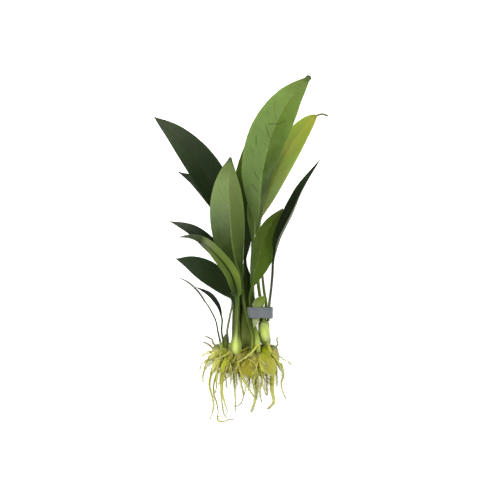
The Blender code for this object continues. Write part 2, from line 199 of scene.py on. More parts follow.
def kept(geometry, name, value):
    feeds = {"Geometry": geometry, "Name": name, "Value": value}
    return wired("GeometryNodeStoreNamedAttribute", feeds, data_type="FLOAT")


def moved(geometry, offset):
    return wired("GeometryNodeSetPosition", {"Geometry": geometry, "Offset": offset})


def newGrowth(name, **labels):
    # a tree with inputs of each kind, and with the corners and the material that both trees have
    tree = bpy.data.node_groups.new(name, "GeometryNodeTree")
    labels = {"Geometry": ["Geometry"], **labels, "Vector": ["Low Corner", "High Corner"],
              "Material": ["Material"]}
    for kind, group in labels.items():
        for label in group:
            tree.interface.new_socket(label, in_out="INPUT", socket_type="NodeSocket" + kind)
    tree.interface.new_socket("Geometry", in_out="OUTPUT", socket_type="NodeSocketGeometry")
    bench["tree"] = tree
    given = {socket.name: Wire(socket) for socket in tree.nodes.new("NodeGroupInput").outputs}
    return tree, given, tree.nodes.new("NodeGroupOutput").inputs[0]


def closeGrowth(geometry, given, end):
    # nothing goes through the floor or out of the plant's own box
    spot = reckonWay("MAXIMUM", wired("GeometryNodeInputPosition"), given["Low Corner"])
    spot = reckonWay("MINIMUM", spot, given["High Corner"])
    geometry = wired("GeometryNodeSetPosition", {"Geometry": geometry, "Position": spot})
    geometry = wired("GeometryNodeSetShadeSmooth", {"Geometry": geometry})
    geometry = wired("GeometryNodeRealizeInstances", {"Geometry": geometry})
    feed(end, wired("GeometryNodeSetMaterial", {"Geometry": geometry, "Material": given["Material"]}))


def grow(piece, tree, lowest, values):
    # runs a growth tree on a piece and leaves a plain mesh
    low, high = cadBox
    values = {**values, "Low Corner": (low.x, low.y, lowest * mm), "High Corner": tuple(high)}
    modifier = piece.modifiers.new("growth", "NODES")
    modifier.node_group = tree
    sockets = {item.name: item.identifier for item in tree.interface.items_tree if item.in_out == "INPUT"}
    for label, value in values.items():
        modifier[sockets[label]] = value
    depsgraph = bpy.context.evaluated_depsgraph_get()
    mesh = bpy.data.meshes.new_from_object(piece.evaluated_get(depsgraph),
                                           preserve_all_data_layers=True, depsgraph=depsgraph)
    piece.modifiers.remove(modifier)
    piece.data = mesh
    mesh.name = piece.name


# Small helpers for meshes

def addThing(name, data):
    thing = bpy.data.objects.new(name, data)
    bpy.context.scene.collection.objects.link(thing)
    return thing


def newPiece(name, points, faces=(), edges=(), marks=None, material=None):
    # points are in millimetres, marks are values that the mesh carries for each point
    mesh = bpy.data.meshes.new(name)
    mesh.from_pydata([tuple(p) for p in np.asarray(points) * mm], list(edges), list(faces))
    for label, values in (marks or {}).items():
        values = np.asarray(values, float)
        kind, field = ("FLOAT", "value") if values.ndim == 1 else ("FLOAT_VECTOR", "vector")
        mesh.attributes.new(label, kind, "POINT").data.foreach_set(field, values.ravel())
    if faces:
        mesh.shade_smooth()
    if material:
        mesh.materials.append(material)
    return addThing(name, mesh)


def place(piece, slot, node=None):
    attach(piece, "root")
    if node:
        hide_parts(node)


def ringFaces(rings, sides):
    # quads between the rings, and one face across each end
    faces = []
    for r in range(rings - 1):
        for i in range(sides):
            a, b = r * sides + i, r * sides + (i + 1) % sides
            faces.append((a, b, b + sides, a + sides))
    faces.append(tuple(reversed(range(sides))))
    faces.append(tuple(range((rings - 1) * sides, rings * sides)))
    return faces


def outwardFaces(points, faces):
    # turns all the faces round if the closed shape is inside out
    volume = 0.0
    for face in faces:
        for b, c in zip(face[1:], face[2:]):
            volume += np.dot(points[face[0]], np.cross(points[b], points[c]))
    return faces if volume > 0 else [tuple(reversed(face)) for face in faces]


def ringPiece(name, rings, marks=None, material=None):
    # a closed shell over rings that have as many points each
    points = np.concatenate(rings)
    faces = outwardFaces(points, ringFaces(len(rings), len(rings[0])))
    return newPiece(name, points, faces, marks=marks, material=material)


def smoothLine(points, steps=48):
    given = [np.array(p, float) for p in points]
    given = [2 * given[0] - given[1]] + given + [2 * given[-1] - given[-2]]
    line = []
    for a, b, c, d in zip(given, given[1:], given[2:], given[3:]):
        for t in np.arange(steps) / steps:
            bend = (2 * a - 5 * b + 4 * c - d) * t ** 2 + (3 * b - a - 3 * c + d) * t ** 3
            line.append(b + ((c - a) * t + bend) / 2)
    line.append(given[-2])
    return np.array(line)


def spreadOut(line, count, crowding=1.0):
    reach = np.concatenate([[0], np.cumsum(np.linalg.norm(np.diff(line, axis=0), axis=1))])
    goals = reach[-1] * (np.arange(count) / (count - 1)) ** crowding
    return np.stack([np.interp(goals, reach, line[:, k]) for k in range(3)], axis=1)


def directions(points):
    along = np.gradient(points, axis=0)
    return along / np.linalg.norm(along, axis=1, keepdims=True)


def blended(values, shares):
    # reads a short list of values as a line from 0 to 1, with its corners eased
    raw = np.interp(shares, np.linspace(0, 1, len(values)), values)
    reach = max(len(raw) // 16, 1)
    padded = np.pad(raw, reach, mode="edge")
    return np.convolve(padded, np.ones(2 * reach + 1) / (2 * reach + 1), mode="valid")


def softStep(low, high, values):
    t = np.clip((np.asarray(values) - low) / (high - low), 0, 1)
    return t * t * (3 - 2 * t)


def circleTurns(count):
    return 2 * math.pi * np.arange(count) / count


def nodeName(kind, name):
    # leftShort on a root is the node root_left_short
    return kind + "_" + "".join("_" + c.lower() if c.isupper() else c for c in name)


# Camera, floor and light

studio = {
    "cameraPlace": (7.27, -0.43, 1800),  # straight above the plant, in millimetres
    "lens": 149.05,
    "floorHalf": 2500,
    "floorTone": 0.95,
    "floorGlow": 0.45,                   # the floor is a light table, so shadows on it stay faint
    "skyTone": (1.0, 0.995, 0.97),
    "skyRise": (0.45, 0.92),             # the sky dims between these heights
    "skyStrength": (0.95, 0.4),          # low and overhead, so leaves don't mirror a white ceiling
    # place, size and power of each light: the key light stands to the upper left
    "lights": {"key": ((-900, 800, 1350), 1000, 46), "fill": ((1100, -500, 1300), 1000, 22)},
}


def setStudio():
    scene = bpy.context.scene
    scene.view_settings.view_transform = "Standard"
    scene.camera = addThing("camera", bpy.data.cameras.new("camera"))
    scene.camera.data.lens = studio["lens"]
    scene.camera.location = Vector(studio["cameraPlace"]) * mm
    scene.world = bpy.data.worlds.new("sky")
    scene.world.use_nodes = True
    bench["tree"] = scene.world.node_tree
    sky = scene.world.node_tree.nodes["Background"]
    feed(sky.inputs["Color"], (*studio["skyTone"], 1))
    height = wired("ShaderNodeSeparateXYZ", {0: wired("ShaderNodeTexCoord", output="Generated")}, 2)
    feed(sky.inputs["Strength"], eased(height, *studio["skyRise"], *studio["skyStrength"]))
    for name, (spot, size, power) in studio["lights"].items():
        lamp = addThing(name, bpy.data.lights.new(name, "AREA"))
        lamp.data.shape = "DISK"
        lamp.data.size = size * mm
        lamp.data.energy = power
        lamp.location = Vector(spot) * mm
        lamp.rotation_euler = (-lamp.location).to_track_quat("-Z", "Y").to_euler()
    finish = dressed(newFinish("paleFloor"), {
        "Base Color": (*[studio["floorTone"]] * 3, 1), "Roughness": 0.7, "Specular IOR Level": 0.1,
        "Emission Color": (1, 1, 1, 1), "Emission Strength": studio["floorGlow"]})
    half = studio["floorHalf"]
    corners = [(-half, -half, 0), (half, -half, 0), (half, half, 0), (-half, half, 0)]
    floor = newPiece("floor", corners, [(0, 1, 2, 3)], material=finish)


setStudio()
print("studio ready")


# The rhizome: a creeping stem with rings where old leaves were

rhizome = {
    "line": [(-26, -88.5), (-12, -91), (3, -93), (17, -92.5), (32, -88.5)],
    "height": 6.8,
    "radius": 8.2,
    "scarWave": 0.3,         # how much it swells between the scars
    "scarCount": 9,
    "scarWidth": 0.07,
    "scarDepth": 0.35,
    "ending": 0.85,
    # swellings: place along it, angle, length, spread in degrees, height
    "swellings": [(0.60, 170, 0.11, 45, 4.5), (0.84, 172, 0.13, 45, 5.0), (0.14, 170, 0.12, 45, 4.0),
                  (0.36, 170, 0.10, 40, 1.5)],
    "lumps": 60,
    "lumpSize": (0.016, 0.11, 0.45),     # length, spread in radians and height
    "rings": 170,
    "sides": 120,
    "touchGap": 0.4,
    "footClearance": 0.09,
    "firstStep": 2.5,
    "rooting": 1.4,          # how deep a stalk's foot goes into it
    "lowest": 0.02,
}


def solidTree(*names):
    # the CAD surfaces of some nodes, for finding a point on them
    points, faces = [], []
    for name in names:
        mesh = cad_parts[name].data
        first = len(points)
        points += [v.co.copy() for v in mesh.vertices]
        faces += [tuple(first + i for i in polygon.vertices) for polygon in mesh.polygons]
    return BVHTree.FromPolygons(points, faces)


rhizomeSolid = solidTree("rhizome")
rhizomeMiddle = smoothLine([(x, y, rhizome["height"]) for x, y in rhizome["line"]])


def seatOn(seat, radius):
    # the first two points of what grows from the rhizome at a place along X and an angle
    x, turn = seat
    middle = Vector(rhizomeMiddle[np.abs(rhizomeMiddle[:, 0] - x).argmin()])
    out = Vector((0, math.cos(math.radians(turn)), math.sin(math.radians(turn))))
    surface, normal, _, _ = rhizomeSolid.ray_cast((middle + out * rhizome["radius"] * 3) * mm, -out)
    first = rhizome["touchGap"] + radius * rhizome["footClearance"] + rhizome["firstStep"]
    return [surface / mm + normal * distance for distance in (-rhizome["rooting"], first)]


def rhizomeFinish():
    finish = newFinish("rhizomeFinish")
    spot = ownPlace()
    fine = cloud(spot, 420, 5, 0.65, 2.0)
    streak = cloud(reckonWay("MULTIPLY", spot, (1, 0.25, 0.25)), 700, 3, 0.6, 5.0)
    skin = ramped(cloud(spot, 95, 4, 0.6),
                  [(0.28, "6a6a12"), (0.42, "8f8b28"), (0.55, "a39f3c"), (0.72, "b9b463")])
    skin = tinted(skin, spanned(streak, 0.0, 0.35), "6f6a22", "MULTIPLY")
    skin = tinted(skin, marked("scar") * 0.55, "6b5a26")
    skin = tinted(skin, eased(marked("leafward"), 0.2, 0.9) * 0.95, "4d5a16")
    skin = tinted(skin, eased(fine, 0.62, 0.78), "5c4a1e")
    return dressed(finish, {
        "Base Color": skin, "Roughness": spanned(fine, 0.42, 0.68), "Subsurface Weight": 0.25,
        "Subsurface Radius": (1.0, 0.8, 0.3), "Subsurface Scale": 0.002,
        "Normal": bumped(fine + streak, 0.0006)})


def makeRhizome():
    middle = spreadOut(rhizomeMiddle, rhizome["rings"])
    along = directions(middle)
    lumps = [(spot, math.radians(turn), length, math.radians(spread), height)
             for spot, turn, length, spread, height in rhizome["swellings"]]
    rng = np.random.default_rng(4)
    length, spread, height = rhizome["lumpSize"]
    for _ in range(rhizome["lumps"]):
        spot, turn, size = rng.uniform(0.05, 0.95), rng.uniform(0, 2 * math.pi), rng.uniform(0.3, 0.9)
        lumps.append((spot, turn, length, spread, height * size))
    rings, scars = [], []
    angles = circleTurns(rhizome["sides"]) - math.pi / 2
    for i, share in enumerate(np.arange(rhizome["rings"]) / (rhizome["rings"] - 1)):
        ending = math.sqrt(1 - rhizome["ending"] * abs(2 * share - 1) ** 10)
        beat = rhizome["scarCount"] * share
        scar = 1 - rhizome["scarWave"] / rhizome["radius"] * math.cos(2 * math.pi * beat)
        ring = math.exp(-((beat - round(beat)) / rhizome["scarWidth"]) ** 2)     # a sharp line in each hollow
        radius = rhizome["radius"] * scar * np.ones(len(angles))
        for spot, turn, length, spread, height in lumps:
            off = np.remainder(angles - turn + math.pi, 2 * math.pi) - math.pi
            radius += height * np.exp(-((share - spot) / length) ** 2 - (off / spread) ** 2)
        radius -= rhizome["scarDepth"] * ring
        sideways = np.cross((0, 0, 1), along[i])
        out = np.outer(np.cos(angles), sideways) + np.outer(np.sin(angles), (0, 0, 1))
        points = middle[i] + out * (radius * ending)[:, None]
        points[:, 2] = np.maximum(points[:, 2], rhizome["lowest"])
        rings.append(points)
        scars.append(np.full(len(angles), ring))
    marks = {"scar": np.concatenate(scars), "leafward": np.tile(np.cos(angles), rhizome["rings"])}
    place(ringPiece("rhizomeStem", rings, marks, rhizomeFinish()), "rhizome", "rhizome")


makeRhizome()
print("rhizome done")


# The new shoot that carries the right-hand leaves

shoot = {
    "seat": (21.0, 8),
    "line": [(19.7, -75, 9), (19.3, -67, 9), (19.5, -60.5, 9)],
    "radius": (3.0, 5.0),
    "footShare": 0.3,        # how much of its length the foot takes to reach its full radius
    "top": -60.5,
    "topShare": 0.2,         # how much of its length is rounded at the top
    "rounding": 0.9,
    "rings": 90,
    "sides": 96,
    "wraps": 3,              # leaf bases wrapped over one another
    "wrapStep": 0.05,
    "twist": 1.3,
}


def shootFinish():
    finish = newFinish("shootFinish")
    along, turn, leftward = marked("along"), marked("turn"), marked("leftward")
    skin = ramped(along, [(0.0, "4c5714"), (0.2, "616c20"), (0.3, "78843a"), (0.4, "a0ae4a"),
                          (0.5, "b0c052"), (0.62, "a8ba4a"), (0.8, "7f922a"), (1.0, "4a5e12")])
    # painted shade down the shoot's left side towards its top, and a painted highlight stripe down its right
    # side
    skin = tinted(skin, eased(leftward, 0.1, 0.8) * eased(along, 0.45, 0.9) * 0.6, "55691a")
    skin = tinted(skin, eased(abs(leftward + 0.35), 0.5, 0.1) * 0.15, "d4e284")
    lines = cloud(joined(along * 1.5, turn * 26, 0.0), 1.0, 4, 0.6)
    skin = tinted(skin, spanned(lines, 0.0, 0.2), "c8d678")
    skin = tinted(skin, eased(cloud(ownPlace(), 160, 3, 0.5, 3.0), 0.45, 0.68) * 0.6, "7c9324")
    skin = tinted(skin, eased(marked("seam"), 0.86, 0.99) * 0.6, "71602a")
    return dressed(finish, {
        "Base Color": skin, "Roughness": spanned(lines, 0.28, 0.5), "Subsurface Weight": 0.3,
        "Subsurface Radius": (1.0, 1.0, 0.3), "Subsurface Scale": 0.002, "Normal": bumped(lines, 0.0003)})


def makeShoot():
    foot, full = shoot["radius"]
    line = seatOn(shoot["seat"], foot) + [Vector(p) for p in shoot["line"]]
    middle = spreadOut(smoothLine(line), shoot["rings"])
    along = directions(middle)
    angles = circleTurns(shoot["sides"])
    shares = np.arange(shoot["rings"]) / (shoot["rings"] - 1)
    rings, seams, lefts = [], [], []
    side = np.array((0.0, 0.0, 1.0))
    for i, share in enumerate(shares):
        other = np.cross(along[i], side)
        other /= np.linalg.norm(other)
        side = np.cross(other, along[i])
        wrap = np.remainder(shoot["wraps"] * (angles / (2 * math.pi)) + shoot["twist"] * share, 1)
        radius = foot + (full - foot) * softStep(0, shoot["footShare"], share)
        radius = radius * (1 - shoot["wrapStep"] + shoot["wrapStep"] * wrap ** 0.6)
        nearTop = max(share - 1 + shoot["topShare"], 0) / shoot["topShare"]
        radius = radius * math.sqrt(1 - shoot["rounding"] * nearTop ** 2)
        out = np.outer(np.cos(angles), side) + np.outer(np.sin(angles), other)
        ring = middle[i] + out * radius[:, None]
        rings.append(ring)
        lefts.append((middle[i][0] - ring[:, 0]) / radius)
        seams.append(wrap)
    marks = {"along": np.repeat(shares, len(angles)), "seam": np.concatenate(seams),
             "turn": np.tile(np.minimum(angles, 2 * math.pi - angles), shoot["rings"]),
             "leftward": np.concatenate(lefts)}
    place(ringPiece("newShoot", rings, marks, shootFinish()), "shoot", "shoot")


makeShoot()
print("shoot done")


# Leaves: a lofted shell for each, then veins raised on it by a growth tree

leafForm = {
    "crowding": 1.4,
    "bladeHalf": 0.30,       # half the thickness of a blade
    "tipHalf": 0.16,
    "edgeLean": 0.2,
    "baseFade": 8,
    "acrossHalf": 16,        # points from the midrib to each edge
    "acrossCrowding": 0.7,
    "stalkSpacing": 1.6,
    "bladeSpacing": 0.8,
    "lineSteps": 48,
    "finePoints": 600,
    "wingFoot": 0.01,        # where a stalk's wings start to widen
    "tipLength": 2.0,        # the rounded end of a blade
    "tipRings": 7,
    "tipLeast": 0.02,
    "lowest": 0.02,
    "veinHeight": 0.10,
    "swellHeight": 0.22,     # between two veins
    "ribHeight": 0.55,
    "ribWidth": 0.7,
    "waveCount": 4.0,
    "seedStep": 1.7,
}


def acrossPlaces(count):
    # from edge to edge, close together at the midrib and at the edges
    t = np.arange(-count, count + 1) / count
    return t - leafForm["acrossCrowding"] * np.sin(2 * math.pi * t) / (2 * math.pi)


def outline(u, leaf):
    u = np.minimum(u / (1 - leaf["tail"]), 1)
    top = leaf["widest"]
    swell = leaf["point"] * top / (1 - top)
    return leaf["halfWidth"] * (u / top) ** swell * ((1 - u) / (1 - top)) ** leaf["point"]


def sectionPoints(middle, along, halfWidth, halfThickness, fold, roll, places):
    facing = np.array((0, 0, 1)) - along * along[2]
    facing /= np.linalg.norm(facing)
    side = np.cross(facing, along)
    turnedSide = side * math.cos(roll) + facing * math.sin(roll)
    face = facing * math.cos(roll) - side * math.sin(roll)
    lean = fold * (1 - leafForm["edgeLean"] + leafForm["edgeLean"] * np.abs(places))
    spots = middle + np.outer(places * halfWidth * np.cos(lean), turnedSide)
    spots -= np.outer(np.abs(places) * halfWidth * np.sin(lean), face)
    depth = np.outer(halfThickness * np.sqrt(np.maximum(1 - places ** 2, 0)), face)
    return np.concatenate([spots + depth, (spots - depth)[-2:0:-1]]), face


def leafShell(name, leaf):
    # the shell of a leaf, and how long its blade is
    if "seat" in leaf:
        start = seatOn(leaf["seat"], leaf["stalkRadius"][0])
    else:
        x, z = leaf["shootSeat"]
        reach = (-rhizome["rooting"], rhizome["touchGap"] + rhizome["firstStep"])
        start = [(x, shoot["top"] + distance, z) for distance in reach]
    line = smoothLine(start + leaf["stalk"] + leaf["midrib"], leafForm["lineSteps"])
    bladeStart = (len(start) + len(leaf["stalk"])) * leafForm["lineSteps"]
    stalkLine, bladeLine = line[:bladeStart + 1], line[bladeStart:]
    stalkLength, bladeLength = [np.linalg.norm(np.diff(part, axis=0), axis=1).sum()
                                for part in (stalkLine, bladeLine)]
    stalkRings = int(stalkLength / leafForm["stalkSpacing"]) + 4
    bladeRings = int(bladeLength / leafForm["bladeSpacing"]) + 4
    tip = leafForm["tipLength"] / bladeLength
    shares = np.concatenate([np.linspace(0, 1 - tip, bladeRings)[:-1],
                             1 - tip * np.cos(np.linspace(0, math.pi / 2, leafForm["tipRings"]))])
    blade = spreadOut(bladeLine, leafForm["finePoints"])
    fineShares = np.linspace(0, 1, leafForm["finePoints"])
    blade = np.stack([np.interp(shares, fineShares, blade[:, k]) for k in range(3)], axis=1)
    middle = np.concatenate([spreadOut(stalkLine, stalkRings, leafForm["crowding"])[:-1], blade])
    u = np.concatenate([np.zeros(stalkRings - 1), shares])
    rise = np.concatenate([(np.arange(stalkRings - 1) / (stalkRings - 1)) ** leafForm["crowding"],
                           np.ones(len(shares))])
    thick, thin = leaf["stalkRadius"]
    stalkSize = thin + (thick - thin) * (1 - rise) ** 3
    sheathWidth, narrowing, sheathEnd = leaf["sheath"]         # the flat wings low on a stalk
    wing = softStep(leafForm["wingFoot"], leaf["wingStart"], rise)
    wing *= 1 - softStep(narrowing, sheathEnd, rise)
    stalkWidth = stalkSize + max(sheathWidth - thin, 0) * wing
    least = thin + (leaf["blunt"] - thin) * u
    halfWidth = np.where(u > 0, np.maximum(outline(u, leaf), least), stalkWidth)
    halfWidth *= np.maximum(1 - np.clip(1 - (1 - u) / tip, 0, 1) ** 2, leafForm["tipLeast"]) ** 0.5
    flat = leafForm["bladeHalf"] + (leafForm["tipHalf"] - leafForm["bladeHalf"]) * u
    halfThickness = np.where(u > 0, flat + (thin - flat) * (1 - u) ** leafForm["baseFade"], stalkSize)
    fold = np.radians(blended(leaf["fold"], u)) * np.minimum(u * leafForm["baseFade"], 1)
    roll = np.radians(blended(leaf["roll"], u))
    places = acrossPlaces(leafForm["acrossHalf"])
    ringAcross = np.concatenate([places, places[-2:0:-1]])
    ringSide = np.concatenate([[0], np.ones(len(places) - 2), [0], -np.ones(len(places) - 2)])
    rings, faceWays = [], []
    for parts in zip(middle, directions(middle), halfWidth, halfThickness, fold, roll):
        ring, face = sectionPoints(*parts, places)
        rings.append(ring)
        faceWays.append(np.tile(face, (len(ring), 1)))
    sides = len(ringAcross)
    marks = {
        "along": np.repeat(np.where(u > 0, u, rise - 1), sides),   # -1 at the foot, then 0, 1 at the tip
        "across": np.tile(ringAcross, len(middle)),
        "side": np.tile(ringSide, len(middle)),
        "offset": np.repeat(halfWidth, sides) * np.tile(ringAcross, len(middle)),
        "facing": np.concatenate(faceWays),
    }
    return ringPiece(name, rings, marks), bladeLength


def veinGap(along, across, count, sweep, seed):
    # how far a place is from the nearest side vein, as a share of their spacing, and how strong
    # that vein is: they leave the midrib, bend to the tip, and are unevenly spaced
    reach, half = abs(across), reckon("SIGN", across)
    start = along - reach ** 1.25 * sweep
    uneven = cloud(joined(start * 9.0, half * 5.0, reach * 0.7), 1.0, 1.0, 0.5, seed)
    start = (uneven - 0.5) * 0.07 + start
    phase = half * 0.2 + start * count
    number = half * 37.3 + reckon("FLOOR", phase + 0.5)
    luck = wired("ShaderNodeTexWhiteNoise", {"W": number}, noise_dimensions="1D")
    return reckon("PINGPONG", phase, 0.5), phase, luck


def makeVeinTree():
    tree, given, end = newGrowth("Leaf veins", Float=[
        "Vein Count", "Vein Sweep", "Vein Height", "Swell Height", "Rib Height", "Rib Width", "Underside",
        "Wave Height", "Wave Count", "Seed"])
    along, across, side, offset = [carried(name) for name in ("along", "across", "side", "offset")]
    reach = abs(across)
    blade = eased(along, 0.02, 0.14) * eased(along, 0.99, 0.82)
    calm = eased(reach, 0.97, 0.6)
    gap, _, luck = veinGap(along, across, given["Vein Count"], given["Vein Sweep"], given["Seed"])
    vein = eased(gap, 0.13, 0.0) * spanned(luck, 0.4, 1.0) * calm * given["Vein Height"] * blade
    ratio = offset / given["Rib Width"]
    rib = reckon("EXPONENT", ratio * ratio * -1) * given["Rib Height"]
    rib = rib * eased(along, 1.0, 0.1) * eased(along, 0.0, 0.1)
    under = side * given["Underside"]
    push = (vein + rib) * (under * (under * 0.25 + 0.75))
    swell = eased(gap, 0.0, 0.5) * calm * given["Swell Height"] * blade * eased(reach, 0.02, 0.3)
    swell = swell * -1 * given["Underside"]
    spot = joined(along * given["Wave Count"], reckon("SIGN", across) * 7.0, 0.0)
    wave = (cloud(spot, 1.0, 1.0, 0.4, given["Seed"]) - 0.5) * given["Wave Height"] * (reach * reach) * blade
    raised = grown(wired("GeometryNodeInputNormal"), push)
    bent = grown(carried("facing", "FLOAT_VECTOR"), swell + wave)
    closeGrowth(moved(given["Geometry"], reckonWay("ADD", raised, bent)), given, end)
    return tree


veinTree = makeVeinTree()


def leafRamp(along, stops):
    # the mesh counts from -1 at a stalk's foot to 1 at a blade's tip, a ramp from 0 to 1
    return ramped(along * 0.5 + 0.5, [((place + 1) / 2, code) for place, code in stops])


def creased(along, offset, lines):
    # 1 on straight creases and 0 away from them, each from (along, across) to (along, across) in mm
    spot = joined(along, offset, 0.0)
    whole = None
    for start, end in lines:
        start, end = Vector((*start, 0)), Vector((*end, 0))
        way = end - start
        away = reckonWay("SUBTRACT", spot, tuple(start))
        share = reckonWay("DOT_PRODUCT", away, tuple(way / way.length_squared), output="Value")
        share = reckon("MAXIMUM", reckon("MINIMUM", share, 1.0), 0.0)
        away = reckonWay("SUBTRACT", away, grown(tuple(way), share))
        line = eased(reckonWay("LENGTH", away, output="Value"), 0.8, 0.15)
        whole = line if whole is None else reckon("MAXIMUM", whole, line)
    return whole


def leafFinish(name, leaf, bladeLength):
    finish = newFinish(name + "Finish")
    along, across, offset = [marked(label) for label in ("along", "across", "offset")]
    spot, seed = ownPlace(), leaf["seed"]
    reach, beside = abs(across), abs(offset)
    blade, stem = eased(along, 0.0, 0.08), eased(along, 0.0, -0.14)
    shown = leafRamp(along, leaf["shown"])
    # the right half's own ramp: painted light and shade that set the two halves of one surface apart
    if "right" in leaf:
        shown = mixed(eased(across, 0.06, -0.06), shown, leafRamp(along, leaf["right"]))
    skin = mixed(eased(marked("side"), -0.3, 0.3), leafRamp(along, leaf["hidden"]), shown)
    patches = cloud(spot, 75, 4, 0.55, seed)
    skin = tinted(skin, eased(patches, 0.42, 0.72) * leaf["patch"], leaf["patchTone"])

    # side veins, the fine ones between them and the net between those
    gap, phase, luck = veinGap(along, across, leaf["veins"], leaf["sweep"], seed)
    broken = eased(cloud(spot, 260, 2, 0.5, seed + 3), 0.3, 0.62)
    vein = eased(gap, 0.11, 0.015) * broken * luck ** 1.5 * eased(reach, 1.0, 0.75) * blade
    fine = eased(reckon("PINGPONG", phase * 5.0, 0.5), 0.35, 0.0) * blade
    net = wired("ShaderNodeTexVoronoi", {"Vector": spot, "Scale": 900}, feature="DISTANCE_TO_EDGE")
    net = eased(net, 0.12, 0.0)
    for lines, share in ((vein, 1), (fine, 0.25), (net, 0.2)):
        skin = tinted(skin, lines * (leaf["vein"] * share), leaf["veinTone"])

    streaks = cloud(joined(along * 6.0, across * 15.0, 0.0), 1.0, 4, 0.62, seed + 5)
    skin = tinted(skin, eased(streaks, 0.5, 0.72) * blade * leaf["streak"], leaf["patchTone"])
    inner, outer = leaf["ribSpread"]
    nearRib = eased(beside, outer, inner) * eased(along, 0.95, 0.35) * blade
    skin = tinted(skin, nearRib * leaf["rib"], leaf["ribTone"])
    if leaf["underside"]:
        flecks = eased(cloud(spot, 700, 3, 0.6, seed + 11), 0.6, 0.68)
        skin = tinted(skin, flecks * eased(beside, 1.8, 0.4) * blade * 0.6, "a9b574")

    # the stalk: a painted highlight stripe, on some leaves brighter still at its foot, and painted shade on
    # its right side
    lit = eased(abs(across - 0.1), 0.6, 0.1) * stem
    skin = tinted(skin, lit * leaf["stemLight"], leaf["stemHighlightTone"])
    if "footLight" in leaf:
        skin = tinted(skin, lit * eased(along, -0.45, -0.92) * leaf["footLight"], "d2e27c")
    # painted shade on the stalk's right side
    skin = tinted(skin, eased(across, 0.4, 0.9) * stem * 0.55, "26330f")
    # a band of painted shade just inside the lower edge on one side, then a painted highlight along that edge
    # where the margin curls
    if "lip" in leaf:
        sideways, lipEnd, lipHighlightTone = leaf["lip"]
        low = blade * eased(along, lipEnd, lipEnd - 0.08)
        skin = tinted(skin, eased(across * sideways, 0.5, 0.8) * low * 0.7, "2a380e")
        skin = tinted(skin, eased(across * sideways, 0.86, 0.92) * low * 0.85, lipHighlightTone)
    skin = tinted(skin, eased(reach, 0.955, 0.99) * blade * leaf["edge"], leaf["edgeTone"])
    skin = tinted(skin, eased(cloud(spot, 620, 2, 0.4, seed + 8), 0.70, 0.76) * 0.35, "4a4526")
    relief = fine * 0.35 + net * 0.35 + cloud(spot, 1500, 2, 0.5, 1.0) * 0.5
    if "creases" in leaf:
        crease = creased(along * bladeLength, offset, leaf["creases"])
        # the creases are dented by the bump and darkened with painted shade
        skin = tinted(skin, crease * 0.5, "36461a")
        relief = relief - crease * 2.5
    return dressed(finish, {
        "Base Color": skin, "Roughness": spanned(patches, leaf["gloss"], leaf["gloss"] + 0.16),
        "Specular IOR Level": leaf["shine"], "Subsurface Weight": leaf["glow"],
        "Subsurface Radius": (0.6, 1.0, 0.2), "Subsurface Scale": 0.0015, "Normal": bumped(relief, 0.00012)})


def growLeaf(name, leaf):
    shell, bladeLength = leafShell(name + "Leaf", leaf)
    grow(shell, veinTree, leafForm["lowest"], {
        "Vein Count": float(leaf["veins"]), "Vein Sweep": leaf["sweep"],
        "Vein Height": leafForm["veinHeight"] * mm, "Swell Height": leafForm["swellHeight"] * mm,
        "Rib Height": leafForm["ribHeight"] * mm, "Rib Width": leafForm["ribWidth"],
        "Underside": 1.0 if leaf["underside"] else -1.0, "Wave Height": leaf["wave"] * mm,
        "Wave Count": leafForm["waveCount"], "Seed": leaf["seed"],
        "Material": leafFinish(shell.name, leaf, bladeLength)})
    place(shell, leaf["slot"], nodeName("leaf", name))


# shown is the side to the camera, right its right half and hidden the far side, each from -1 at the stalk's
# foot over 0 at the foot of the blade to 1 at its tip; fold and roll are degrees along the blade. The shown
# and right colours hold painted light: where right differs from shown, that is painted shade on the half
# turned from the light or shaded by another leaf, and darker or paler stretches of some ramps are painted
# shade under neighbouring leaves and painted highlights on stalk feet
anyLeaf = {
    "blunt": 0.45, "tail": 0, "sheath": (0, 0.5, 1), "wingStart": 0.2, "wave": 1.6, "sweep": 0.2,
    "streak": 0.2, "ribSpread": (0.2, 0.7), "stemLight": 0.25, "stemHighlightTone": "9db04e",
}
paleUnder = dict(
    anyLeaf, underside=True, slot="pale_leaf", patch=0.4, patchTone="6d8746", vein=0.45, veinTone="33471c",
    rib=0.25, ribTone="8aa352", edge=0.5, edgeTone="4a5634", gloss=0.42, shine=0.04, glow=0.1,
    hidden=[(-1, "6c7d38"), (0, "4c5f26"), (0.5, "35491c"), (1, "3a4420")])
darkUpper = dict(
    anyLeaf, underside=False, slot="dark_leaf", patch=0.3, patchTone="1f2a17", vein=0.2, veinTone="2c3a20",
    rib=0.2, ribTone="2c3a1e", edge=0.3, edgeTone="14190f", gloss=0.4, shine=0.03, glow=0.04,
    hidden=[(-1, "6c7d38"), (0, "5c6f34"), (0.5, "66793f"), (1, "5a5f38")])
